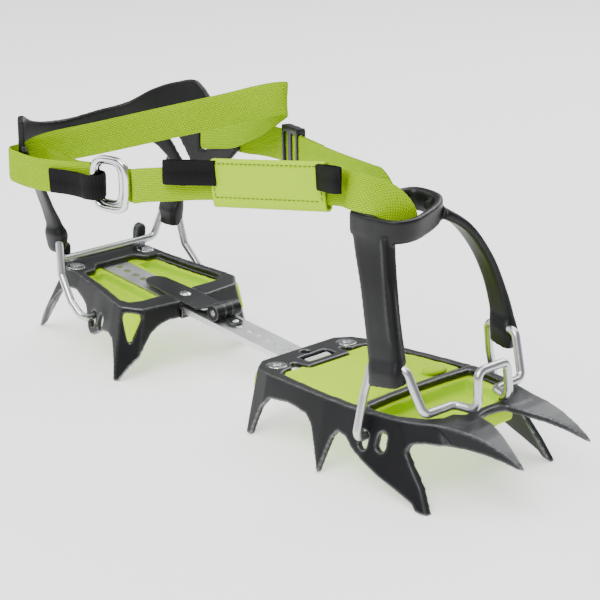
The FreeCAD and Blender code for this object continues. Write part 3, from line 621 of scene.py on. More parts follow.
def flow_line(points: Iterable[Point], step: float = 1.2) -> list[Vector]:
    """Smooth line through points, evenly stepped.

    Args:
        points: the points in millimetres.
        step: distance between the results.

    Returns:
        Points along the curve, in millimetres.
    """
    ctrl = [Vector(p) for p in points]
    padded = [2 * ctrl[0] - ctrl[1]] + ctrl + [2 * ctrl[-1] - ctrl[-2]]
    fine: list[Vector] = []
    for p0, p1, p2, p3 in zip(padded, padded[1:], padded[2:], padded[3:]):
        gaps = [max((b - a).length, 1e-6) ** 0.5 for a, b in ((p0, p1), (p1, p2), (p2, p3))]
        m1 = (p1 - p0) / gaps[0] - (p2 - p0) / (gaps[0] + gaps[1]) + (p2 - p1) / gaps[1]
        m2 = (p2 - p1) / gaps[1] - (p3 - p1) / (gaps[1] + gaps[2]) + (p3 - p2) / gaps[2]
        m1, m2 = m1 * gaps[1], m2 * gaps[1]
        count = max(4, int((p2 - p1).length / 0.4))
        for k in range(count):
            t = k / count
            a = 2 * t ** 3 - 3 * t ** 2 + 1
            b = t ** 3 - 2 * t ** 2 + t
            fine.append(p1 * a + m1 * b + p2 * (1 - a) + m2 * (t ** 3 - t ** 2))
    fine.append(ctrl[-1])
    lengths = [0.0]
    for a, b in zip(fine, fine[1:]):
        lengths.append(lengths[-1] + (b - a).length)
    count = max(2, round(lengths[-1] / step))
    out, i = [], 0
    for k in range(count + 1):
        want = lengths[-1] * k / count
        while i < len(fine) - 2 and lengths[i + 1] < want:
            i += 1
        span = max(lengths[i + 1] - lengths[i], 1e-9)
        out.append(fine[i].lerp(fine[i + 1], min(1.0, max(0.0, (want - lengths[i]) / span))))
    return out


def rings_to_skin(bm: bmesh.types.BMesh, rings: list[list[Vector]], capped: bool = True) -> None:
    """Joins matching rings of points into one skin.

    Args:
        bm: the mesh that the skin is added to.
        rings: closed rings with the same number of points, in metres.
        capped: whether both ends are closed.
    """
    loops = []
    for ring in rings:
        verts = [bm.verts.new(p) for p in ring]
        loops.append([bm.edges.new((a, b)) for a, b in zip(verts, verts[1:] + verts[:1])])
    for one, other in zip(loops, loops[1:]):
        bmesh.ops.bridge_loops(bm, edges=one + other)
    if capped:
        for ends in (loops[0], loops[-1]):
            bmesh.ops.edgeloop_fill(bm, edges=ends)


def swept(bm: bmesh.types.BMesh, stations: list[tuple[Point, Point, Point]], corners: int = 16,
          power: float = 3.2, step: float = 1.4) -> None:
    """Adds a bar with a rounded-rectangle section that follows a smooth line.

    Args:
        bm: the mesh that the bar is added to.
        stations: middle, half-width vector and half-thickness vector of each station, in layout mm.
        corners: points round the section.
        power: 2 gives an ellipse, more gives squarer corners.
        step: distance between sections, in mm.
    """
    middles = flow_line([s[0] for s in stations], step)
    count = len(middles)
    marks = [0.0]
    for a, b in zip(stations, stations[1:]):
        marks.append(marks[-1] + (Vector(b[0]) - Vector(a[0])).length)
    rings = []
    for k, middle in enumerate(middles):
        t = marks[-1] * k / (count - 1)
        i = max(j for j in range(len(marks) - 1) if marks[j] <= t + 1e-9)
        f = (t - marks[i]) / (marks[i + 1] - marks[i])
        f = f * f * (3 - 2 * f)
        wide = Vector(stations[i][1]).lerp(Vector(stations[i + 1][1]), f)
        thick = Vector(stations[i][2]).lerp(Vector(stations[i + 1][2]), f)
        ring = []
        for c in range(corners):
            turn = 2 * math.pi * c / corners
            x = math.copysign(abs(math.cos(turn)) ** (2 / power), math.cos(turn))
            y = math.copysign(abs(math.sin(turn)) ** (2 / power), math.sin(turn))
            ring.append(at(middle + wide * x + thick * y))
        rings.append(ring)
    rings_to_skin(bm, rings)


def closed_bar(bm: bmesh.types.BMesh, line: list[Vector], face: Vector, wide: float, deep: float,
               power: float, lip: float = 0.0) -> None:
    """Adds a closed loop of bar with a rounded section.

    Args:
        bm: the mesh that the loop is added to.
        line: the loop's middle line in layout mm, without a repeated end.
        face: unit vector square to the loop's plane.
        wide: half-size along face.
        deep: half-size in the loop's plane.
        power: 2 gives an ellipse, more gives squarer corners.
        lip: how far the upper edge turns outwards.
    """
    loops = []
    for k, middle in enumerate(line):
        ahead = line[(k + 1) % len(line)] - line[k - 1]
        out = ahead.cross(face).normalized()
        section = []
        for c in range(16):
            turn = 2 * math.pi * c / 16
            x = math.copysign(abs(math.cos(turn)) ** (2 / power), math.cos(turn)) * deep
            z = math.copysign(abs(math.sin(turn)) ** (2 / power), math.sin(turn)) * wide
            x += lip * max(0.0, z / wide) ** 3
            section.append(at(middle + out * x + face * z))
        loops.append(section)
    rings_to_skin(bm, loops + [loops[0]], capped=False)
    bmesh.ops.remove_doubles(bm, verts=bm.verts, dist=1e-7)
    bmesh.ops.recalc_face_normals(bm, faces=bm.faces)


@dataclass
class Ribbon:
    """A flat woven strap laid along a smooth line."""

    route: list[Point]
    width: float = 16.4
    thick: float = 1.7
    ups: list[Point] | None = None
    step: float = 1.2

    def mesh(self) -> bmesh.types.BMesh:
        """Builds the strap.

        Returns:
            A closed bmesh in metres, with a UV map in millimetres along and across the strap.
        """
        line = flow_line(self.route, self.step)
        bm = bmesh.new()
        columns = 10
        half = 0.5 * self.thick
        uv = bm.loops.layers.uv.new("Weave")
        rings, coords = [], []
        for k, middle in enumerate(line):
            ahead = (line[min(k + 1, len(line) - 1)] - line[max(k - 1, 0)]).normalized()
            up = self.up_at(k / (len(line) - 1))
            side = ahead.cross(up).normalized()
            rise = side.cross(ahead).normalized()
            ring, marks = [], []
            for face in (1, -1):
                for c in range(columns + 1):
                    across_it = (c / columns * 2 - 1) * face
                    edge = min(1.0, (1 - abs(across_it)) * 0.5 * self.width / (0.7 * half) + 0.25)
                    out = side * (face * half * math.sqrt(min(1.0, edge)))
                    ring.append(at(middle + rise * (0.5 * self.width * across_it) + out))
                    marks.append((k * self.step, 0.5 * self.width * across_it + face * 40.0))
            rings.append(ring)
            coords.append(marks)
        rows = [[bm.verts.new(p) for p in ring] for ring in rings]
        lookup = {v: c for row, marks in zip(rows, coords) for v, c in zip(row, marks)}
        loops = [[bm.edges.new((a, b)) for a, b in zip(row, row[1:] + row[:1])] for row in rows]
        for one, other in zip(loops, loops[1:]):
            bmesh.ops.bridge_loops(bm, edges=one + other)
        for ends in (loops[0], loops[-1]):
            bmesh.ops.edgeloop_fill(bm, edges=ends)
        for face in bm.faces:
            for loop in face.loops:
                loop[uv].uv = lookup[loop.vert]
        bmesh.ops.recalc_face_normals(bm, faces=bm.faces)
        return bm

    def up_at(self, t: float) -> Vector:
        """Direction in which the strap's width stands at a share of its length."""
        if not self.ups:
            return Vector((0, 0, 1))
        where = t * (len(self.ups) - 1)
        i = min(int(where), len(self.ups) - 2)
        return Vector(self.ups[i]).lerp(Vector(self.ups[i + 1]), where - i).normalized()


# ------------------------------------------------------------------ sub-assemblies


@dataclass
class SteelFrames:
    """The two spiked frames, formed from sheet with flowing edges."""

    palette: Palette
    voxel: float = 0.00062
    passes: int = 7

    def build(self, frame: dict) -> None:
        """Makes both frames.

        Args:
            frame: the loaded frame.
        """
        for node, body in (("front_frame", Body.FRONT), ("heel_frame", Body.HEEL)):
            piece = add_piece(f"{node}_formed", merged_copy(frame, node), self.palette.frame_steel)
            flowed(piece, self.voxel, self.passes)
            settle(piece, body, "steel_frame", node)


@dataclass
class AntiballPlates:
    """The soft lime plates that keep snow from packing under the frames."""

    palette: Palette
    voxel: float = 0.0008
    heel_corner: tuple = ((57.3, 38.2), (66.5, 30.5), (64.0, 47.6), (73.5, 40.0))
    front_corner: tuple = ((-10.0, 24.0), (-4.5, 31.5), (-14.0, 30.0), (-5.0, 43.0))
    knob_place: tuple = (60.0, 21.0, 0.2)

    def build(self, frame: dict) -> None:
        """Makes both plates.

        Args:
            frame: the loaded frame.
        """
        for node, body in (("front_antiball_plate", Body.FRONT), ("heel_antiball_plate", Body.HEEL)):
            piece = add_piece(f"{node}_moulded", merged_copy(frame, node), self.palette.lime_rubber)
            flowed(piece, self.voxel, 8)
            settle(piece, body, "lime_plate", node)
        self.inlays("heel_corner_inlays", Body.HEEL, ON_HEEL, self.heel_corner, 5.7, (2.8, 19.6))
        self.inlays("front_corner_inlays", Body.FRONT, ON_FRONT, self.front_corner, 4.2, (2.8, 14.6))
        self.knob()

    def inlays(self, name: str, body: Body, place: Matrix, corner: tuple, half: float,
               depths: tuple[float, float]) -> None:
        """Fills the two corner windows of a frame with soft three-cornered pads, apex down.

        Args:
            name: the piece's name.
            body: the body it rides on.
            place: transform from the frame's own plane.
            corner: the corner flange's two upper and two lower ends, in the frame's plane.
            half: half the pads' width at the top, in mm.
            depths: how far below the frame's top the pads begin and end.
        """
        top_a, top_b, low_a, low_b = (Vector((x, y, 0)) for x, y in corner)
        run = (top_b - top_a).length
        bm = bmesh.new()
        for mirror in (1, -1):
            def on_flange(along: float, depth: float, out: float) -> Vector:
                """A point on the flange: mm along from its middle, mm down and mm outwards."""
                t = 0.5 + along / run
                top, low = top_a.lerp(top_b, t), low_a.lerp(low_b, t)
                flat = top.lerp(low, depth / OUTLINE_DEPTH)
                away = Vector((top_a.y - top_b.y, top_b.x - top_a.x, 0)).normalized() * out
                return place @ Vector((flat.x + away.x, mirror * (flat.y + away.y), -depth))
            loop = [(-half, depths[0]), (half, depths[0]), (0.0, depths[1])]
            for _ in range(3):
                loop = [(a[0] * (1 - f) + b[0] * f, a[1] * (1 - f) + b[1] * f)
                        for a, b in zip(loop, loop[1:] + loop[:1]) for f in (0.16, 0.84)]
            middle = (0.0, depths[0] + 0.34 * (depths[1] - depths[0]))
            rings = []
            for size, out in ((0.80, -1.8), (1.0, 0.1), (0.95, 0.5), (0.75, 0.85), (0.4, 1.0), (0.1, 1.05)):
                rings.append([on_flange(middle[0] + (x - middle[0]) * size,
                                        middle[1] + (d - middle[1]) * size, out)
                              for x, d in loop])
            rings_to_skin(bm, rings)
        bmesh.ops.recalc_face_normals(bm, faces=bm.faces)
        settle(add_piece(name, bm, self.palette.lime_rubber, 50), body, "lime_plate")

    def knob(self) -> None:
        """Adds the low oval knob that stands on the front pad beside the cross bar."""
        bm = bmesh.new()
        made = bmesh.ops.create_uvsphere(bm, u_segments=32, v_segments=20, radius=1.0)
        size = Matrix.Diagonal((5.0, 6.6, 2.2, 1.0))
        bmesh.ops.transform(bm, verts=made["verts"],
                            matrix=ON_FRONT @ Matrix.Translation(self.knob_place) @ size)
        settle(add_piece("front_plate_knob", bm, self.palette.lime_rubber, 60), Body.FRONT, "lime_plate")


@dataclass
class Hardware:
    """Screws, link bar, guide, lever and wires: the design's own shapes with broken edges."""

    palette: Palette

    def build(self, frame: dict) -> None:
        """Refines each small metal piece.

        Args:
            frame: the loaded frame.
        """
        p = self.palette
        plan = [
            ("front_plate_screws", Body.FRONT, p.screw_steel, "screw_steel", 0.00025),
            ("heel_plate_screws", Body.HEEL, p.screw_steel, "screw_steel", 0.00025),
            ("link_bar", Body.BAR, p.bar_steel, "bright_steel", 0.0003),
            ("bar_guide", Body.HEEL, p.sheet_steel, "black_sheet", 0.0003),
            ("lever_leaf", Body.HEEL, p.sheet_steel, "black_sheet", 0.00022),
            ("lever_rivet", Body.HEEL, p.screw_steel, "screw_steel", 0.0002),
            ("lever_hinge_pin", Body.HEEL, p.screw_steel, "screw_steel", 0.0002),
            ("lock_tab", Body.LEVER, p.sheet_steel, "black_sheet", 0.0003),
            ("locking_pin", Body.LEVER, p.screw_steel, "screw_steel", 0.0002),
            ("heel_wire", Body.HEEL_BAIL, p.wire_steel, "bright_steel", 0.0003),
            ("front_wire", Body.TOE_BAIL, p.wire_steel, "bright_steel", 0.0003),
        ]
        for node, body, material, slot, width in plan:
            bm = merged_copy(frame, node)
            bmesh.ops.dissolve_limit(bm, angle_limit=math.radians(0.8), verts=bm.verts, edges=bm.edges)
            piece = add_piece(f"{node}_finished", bm, material, smooth_angle=35.0)
            eased(piece, width)
            settle(piece, body, slot, node)


@dataclass
class StrapRings:
    """The pair of polished rings that the binding strap is drawn through."""

    palette: Palette
    tilt: float = math.radians(15.0)
    wire: float = 1.6
    squareness: float = 3.4

    def build(self) -> None:
        """Makes both rings."""
        self.ring("ring_outer", Body.OUTER_RING, (70.6, -57.0, 107.4), 20.0, 28.0)
        self.ring("ring_inner", Body.INNER_RING, (68.0, -53.2, 107.0), 15.5, 24.0)

    def ring(self, node: str, body: Body, bar: Point, long: float, tall: float) -> None:
        """Makes one ring as a rounded loop that stands on edge.

        Args:
            node: the node it replaces.
            body: the body it rides on.
            bar: middle of its rear bar, in layout mm.
            long: distance between its two bars' middle lines.
            tall: its outer height.
        """
        ahead = Vector((math.cos(self.tilt), math.sin(self.tilt), 0))
        side = ahead.cross(Vector((0, 0, 1)))
        centre = Vector(bar) + ahead * (0.5 * long)
        a, b, power = 0.5 * long, 0.5 * tall - self.wire, 2 / self.squareness
        line = []
        for k in range(72):
            turn = 2 * math.pi * k / 72
            x = math.copysign(abs(math.cos(turn)) ** power, math.cos(turn)) * a
            z = math.copysign(abs(math.sin(turn)) ** power, math.sin(turn)) * b
            line.append(centre + ahead * x + Vector((0, 0, z)))
        bm = bmesh.new()
        closed_bar(bm, line, side, self.wire * 1.12, self.wire, 2.6)
        piece = add_piece(f"{node}_polished", bm, self.palette.ring_steel)
        settle(piece, body, "bright_steel", node)


@dataclass
class ToeBasket:
    """Flexible basket over the toe: near post, strap ring and arched far arm."""

    palette: Palette
    voxel: float = 0.0007

    def build(self) -> None:
        """Makes the basket as one moulding."""
        bm = bmesh.new()
        swept(bm, [((251.6, -38.6, 50.6), (8.8, 0, 1.6), (0, 4.2, 0.6)),
                   ((250.6, -38.4, 56.0), (8.9, 0, 1.5), (0, 4.0, 0.6)),
                   ((248.6, -37.6, 62.5), (9.0, 0, 1.3), (0, 2.6, 0.6)),
                   ((245.0, -36.2, 73.0), (9.2, 0, 1.2), (0, 2.1, 0.6)),
                   ((239.5, -33.6, 88.0), (9.4, 0, 1.0), (0, 2.0, 0.7)),
                   ((230.6, -29.4, 108.0), (9.8, 0, 0.8), (0, 2.0, 0.8)),
                   ((228.6, -29.0, 118.6), (9.6, 0, 0.6), (0, 2.0, 0.8))], power=4.5)
        for shift, deep in ((7.4, 3.6), (-7.6, 2.6)):
            swept(bm, [((249.2 + shift, -36.6, 60.0), (1.6, 0, 0.2), (0, deep, 0.4)),
                       ((243.0 + shift, -34.4, 78.0), (1.6, 0, 0.2), (0, deep, 0.4)),
                       ((236.0 + shift, -30.4, 98.0), (1.6, 0, 0.2), (0, deep, 0.4)),
                       ((231.8 + shift, -27.8, 112.0), (1.8, 0, 0.2), (0, deep, 0.4))], power=3.4)
        swept(bm, [((252.0, 37.4, 51.0), (6.2, 0, -1.2), (0, 4.2, 0.2)),
                   ((251.4, 37.8, 58.0), (6.6, 0, -1.4), (0, 4.4, 0.2)),
                   ((248.6, 38.6, 66.5), (6.4, 0, -1.6), (0, 2.8, 0.2)),
                   ((245.0, 36.4, 80.0), (6.2, 0, -1.6), (0, 2.2, 0.6)),
                   ((241.4, 31.0, 94.3), (6.2, 0, -1.4), (0, 1.9, 1.2)),
                   ((237.6, 20.6, 108.4), (6.4, 0, -1.2), (0, 1.4, 1.9)),
                   ((233.2, 8.6, 116.2), (7.6, 0, -1.0), (0, 1.2, 2.4))], power=4.0)
        ring = [(220.0, -29.0, 114.4), (232.0, -29.2, 114.4), (242.6, -26.8, 114.6), (245.0, -20.0, 114.8),
                (242.2, -7.0, 115.4), (237.2, 5.0, 116.2), (231.0, 11.6, 116.6), (221.0, 13.6, 116.8),
                (216.0, 12.2, 116.6), (213.4, 6.0, 116.2), (213.4, -6.0, 115.6), (215.4, -20.0, 114.8),
                (220.0, -29.0, 114.4)]
        closed_bar(bm, flow_line(ring, 1.4)[:-1], Vector((0, 0, 1)), 5.4, 2.2, 3.6, lip=0.9)
        piece = add_piece("toe_basket_moulding", bm, self.palette.black_plastic)
        flowed(piece, self.voxel, 5)
        settle(piece, Body.TOE_BAIL, "black_plastic", "toe_basket")


@dataclass
class HeelCup:
    """Flexible cup round the heel with a slotted wing and two wire clips."""

    palette: Palette
    wall: float = 3.2
    voxel: float = 0.0007

    def build(self) -> None:
        """Makes the cup as one moulding."""
        # Plan curve of the wall with the heights of its lower and upper edges.
        plan = [((9.5, -56.0), 104.0, 126.6), ((-2.0, -47.6), 103.0, 125.6), ((-12.0, -35.0), 101.0, 119.4),
                ((-20.0, -18.6), 98.5, 115.0), ((-22.6, 0.0), 94.0, 113.8), ((-20.0, 16.0), 96.0, 116.0),
                ((-13.0, 29.5), 98.5, 119.4), ((-2.0, 39.0), 97.0, 127.2), ((12.0, 45.0), 84.0, 132.6),
                ((24.0, 48.0), 77.0, 134.5), ((36.0, 49.8), 86.0, 124.0), ((47.0, 50.6), 94.0, 115.0),
                ((54.0, 50.8), 101.0, 111.0)]
        marks = [0.0]
        for ((x0, y0), _, _), ((x1, y1), _, _) in zip(plan, plan[1:]):
            marks.append(marks[-1] + math.hypot(x1 - x0, y1 - y0))
        heights = flow_line([(mark, low, high) for mark, (_, low, high) in zip(marks, plan)], 0.4)
        route = flow_line([(x, y, 0) for (x, y), _, _ in plan], 1.2)
        bm = bmesh.new()
        rings, levels, walked = [], 8, 0.0
        for k, middle in enumerate(route):
            ahead = route[min(k + 1, len(route) - 1)] - route[max(k - 1, 0)]
            out = Vector((ahead.y, -ahead.x, 0)).normalized() * (0.5 * self.wall)
            walked += (middle - route[max(k - 1, 0)]).length
            share = walked / marks[-1] * heights[-1].x
            edge = min(heights, key=lambda h: abs(h.x - share))
            ring = []
            for side in (1, -1):
                for j in range(levels + 1):
                    f = j / levels if side == 1 else 1 - j / levels
                    ring.append(at(middle + out * side + Vector((0, 0, edge.y + (edge.z - edge.y) * f))))
            rings.append(ring)
        rings_to_skin(bm, rings)
        swept(bm, [((6.0, -53.6, 112.0), (8.2, -3.8, 0), (0.2, 1.6, 0.5)),
                   ((8.2, -48.6, 98.0), (8.2, -2.8, 0), (0.2, 1.6, 0.5)),
                   ((10.0, -42.6, 80.0), (6.4, -1.0, 0), (0.2, 1.7, 0.6)),
                   ((11.3, -39.4, 70.0), (5.6, 0, 0), (0.2, 2.4, 0.8)),
                   ((11.8, -38.3, 64.0), (7.0, 0, 0), (0, 4.6, 0.4)),
                   ((11.8, -38.0, 57.0), (5.6, 0, 0), (0, 4.2, 0.4)),
                   ((11.8, -38.0, 54.6), (3.4, 0, 0), (0, 3.0, 0.4))], power=2.8)
        swept(bm, [((20.0, 47.0, 90.0), (18.0, 3.0, 0), (0, 1.6, 0.3)),
                   ((15.5, 44.0, 78.0), (11.0, 1.6, 0), (0, 1.7, 0.4)),
                   ((12.2, 40.4, 70.0), (7.6, 0.4, 0), (0, 2.8, 0.8)),
                   ((11.8, 38.7, 63.0), (7.6, 0, 0), (0, 4.8, 0.3)),
                   ((11.8, 38.4, 54.6), (7.0, 0, 0), (0, 4.4, 0.3))], power=3.4)
        bmesh.ops.recalc_face_normals(bm, faces=bm.faces)
        piece = add_piece("heel_cup_moulding", bm, self.palette.black_plastic)
        flowed(piece, self.voxel, 0)
        self.cut_ways(piece)
        flowed(piece, self.voxel, 6)
        settle(piece, Body.HEEL_BAIL, "black_plastic", "heel_cup")

    def cut_ways(self, piece: bpy.types.Object) -> None:
        """Cuts the long slanted slot and both strap slots.

        Args:
            piece: the cup.
        """
        bm = bmesh.new()
        high_end, low_end, radius = Vector((5.4, 47.0, 108.0)), Vector((16.0, 47.0, 90.4)), 3.4
        axis = low_end - high_end
        turn = Vector((0, 0, 1)).rotation_difference(axis).to_matrix().to_4x4()
        made = bmesh.ops.create_cube(bm, size=1.0)
        size = Matrix.Diagonal((2 * radius * MM, 30 * MM, axis.length * MM, 1.0))
        bmesh.ops.transform(bm, verts=made["verts"],
                            matrix=Matrix.Translation(at(high_end + 0.5 * axis)) @ turn @ size)
        quarter = Matrix.Rotation(math.pi / 2, 4, "X")
        for end in (high_end, low_end):
            made = bmesh.ops.create_cone(bm, cap_ends=True, segments=24, radius1=radius * MM,
                                         radius2=radius * MM,
                                         depth=30.2 * MM)
            bmesh.ops.transform(bm, verts=made["verts"], matrix=Matrix.Translation(at(end)) @ quarter)
        for centre, size_mm in (((28.7, 50, 107.4), (4.6, 26, 20.0)), ((5.0, -54, 104.7), (4.6, 30, 19.0))):
            made = bmesh.ops.create_cube(bm, size=1.0)
            size = Matrix.Diagonal([s * MM for s in size_mm] + [1.0])
            bmesh.ops.transform(bm, verts=made["verts"], matrix=Matrix.Translation(at(centre)) @ size)
        mesh = bpy.data.meshes.new("slot cutter")
        bm.to_mesh(mesh)
        bm.free()
        cutter = bpy.data.objects.new("slot cutter", mesh)
        bpy.context.scene.collection.objects.link(cutter)
        cut = piece.modifiers.new("Slots", "BOOLEAN")
        cut.operation = "DIFFERENCE"
        cut.solver = "EXACT"
        cut.use_self = True
        cut.object = cutter
        baked(piece)
        bpy.data.objects.remove(cutter)


@dataclass
class Harness:
    """The lime webbing: binding strap, ankle strap and anchor loop, with the black ring tab."""

    palette: Palette
    near_rear: list = field(default_factory=lambda: [
        (87.4, -50.4, 107.4), (88.2, -48.6, 107.4), (90.6, -48.4, 107.6), (93.0, -50.0, 108.2),
        (97.0, -49.4, 109.4), (110.0, -45.0, 111.8), (130.0, -38.8, 115.6),
        (160.0, -29.6, 119.4), (178.0, -24.1, 121.4)])
    near_front: list = field(default_factory=lambda: [
        (148.0, -33.2, 118.0), (170.0, -26.5, 120.5), (190.0, -20.5, 122.8), (198.0, -19.8, 124.0),
        (207.0, -22.6, 126.0), (216.0, -27.6, 127.8), (225.0, -27.8, 128.0), (232.0, -23.0, 126.0),
        (237.0, -18.6, 119.5), (238.4, -17.6, 111.5)])
    near_front_ups: list = field(default_factory=lambda: [
        (0, 0, 1), (0, 0, 1), (0, 0, 1), (0, 0.05, 1), (0, 0.15, 1), (0.1, 0.9, 0.75), (0.3, 1, 0.1)])
    far_rear: list = field(default_factory=lambda: [
        (146.0, 24.2, 117.6), (130.0, 29.6, 117.0), (96.0, 41.4, 114.6), (72.0, 50.0, 110.8), (57.0, 53.6,
                                                                                               108.2),
        (42.0, 53.8, 107.6), (31.0, 53.0, 107.4), (28.8, 50.0, 107.4)])
    far_front: list = field(default_factory=lambda: [
        (114.0, 34.3, 116.3), (130.0, 28.9, 116.9), (160.0, 18.7, 118.4), (186.0, 9.2, 120.6), (202.0,
                                                                                                1.0, 123.0),
        (212.0, -4.0, 124.2), (218.0, -6.2, 120.4), (219.4, -6.6, 113.5)])

    def strap(self, name: str, ribbon: Ribbon, body: Body, *nodes: str) -> bpy.types.Object:
        """Makes one rigidly riding strap.

        Args:
            name: the piece's name.
            ribbon: its course.
            body: the body it rides on.
            nodes: the nodes it replaces.

        Returns:
            The strap.
        """
        piece = add_piece(name, ribbon.mesh(), self.palette.lime_webbing, 60)
        return settle(piece, body, "lime_webbing", *nodes)

    def bending(self, name: str, ribbon: Ribbon, bodies: tuple[Body, Body], start: Point, end: Point,
                *nodes: str) -> bpy.types.Object:
        """Makes one strap that runs between two bodies; it stays fixed in the scene and does not bend.

        Args:
            name: the piece's name.
            ribbon: its course.
            bodies: the bodies at its two ends.
            start: not used.
            end: not used.
            nodes: the nodes it replaces.

        Returns:
            The strap.
        """
        piece = add_piece(name, ribbon.mesh(), self.palette.lime_webbing, 60)
        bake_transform(piece)
        if nodes:
            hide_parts(*nodes)
        LOG.info("%s bends from %s to %s", name, bodies[0].value, bodies[1].value)
        return piece

    def build(self) -> None:
        """Makes every strap."""
        self.bending("binding_strap_near_rear", Ribbon(self.near_rear), (Body.HEEL_BAIL, Body.HEEL),
                     (96, -48, 110), (136, -37, 116), "binding_strap_near")
        self.bending("binding_strap_near_front", Ribbon(self.near_front, ups=self.near_front_ups),
                     (Body.FRONT, Body.TOE_BAIL), (180, -24, 122), (226, -26, 128))
        self.bending("binding_strap_far_rear", Ribbon(self.far_rear), (Body.HEEL_BAIL, Body.HEEL),
                     (50, 53, 108), (110, 36, 116), "binding_strap_far")
        self.bending("binding_strap_far_front", Ribbon(self.far_front), (Body.FRONT, Body.TOE_BAIL),
                     (150, 22, 118), (210, -3, 124))
        ankle = [(28.8, 48.0, 107.4), (31.0, 45.4, 107.4), (42.0, 46.6, 109.2), (54.0, 45.6, 112.0),
                 (72.0, 40.6, 119.6), (90.0, 34.6, 127.6), (106.0, 29.8, 137.2), (114.4, 27.8, 142.6),
                 (117.4, 25.2, 144.0), (115.0, 22.6, 143.8), (106.0, 18.6, 141.2), (90.0, 12.0, 135.6),
                 (60.0, -4.0, 125.8), (30.0, -26.0, 115.8), (16.0, -37.0, 111.4), (9.0, -42.0, 108.6),
                 (5.6, -46.0, 106.4), (5.0, -52.0, 105.0)]
        self.strap("ankle_strap_woven", Ribbon(ankle), Body.HEEL_BAIL, "ankle_strap")
        anchor = [(66.0, -51.6, 106.6), (50.0, -51.0, 104.6), (30.0, -47.6, 104.2), (12.0, -45.4, 104.4),
                  (6.4, -46.6, 104.6), (4.8, -51.0, 104.6), (4.4, -57.6, 104.6), (6.0, -60.8, 104.4),
                  (13.0, -61.4, 103.6), (26.0, -58.8, 102.6), (50.0, -53.8, 104.4), (64.0, -52.6, 106.4)]
        self.strap("anchor_loop_woven", Ribbon(anchor), Body.HEEL_BAIL, "anchor_loop")
        tab = Ribbon([(37.0, -58.6, 101.4), (50.0, -56.6, 102.4), (61.0, -57.4, 103.4), (67.4, -59.6, 104.4),
                      (73.2, -59.0, 105.0), (75.0, -55.4, 105.2), (71.6, -51.4, 105.4), (65.4, -51.4, 105.4)],
                     width=12.2)
        piece = add_piece("buckle_tab_woven", tab.mesh(), self.palette.black_webbing, 60)
        settle(piece, Body.HEEL_BAIL, "black_webbing", "buckle_tab")


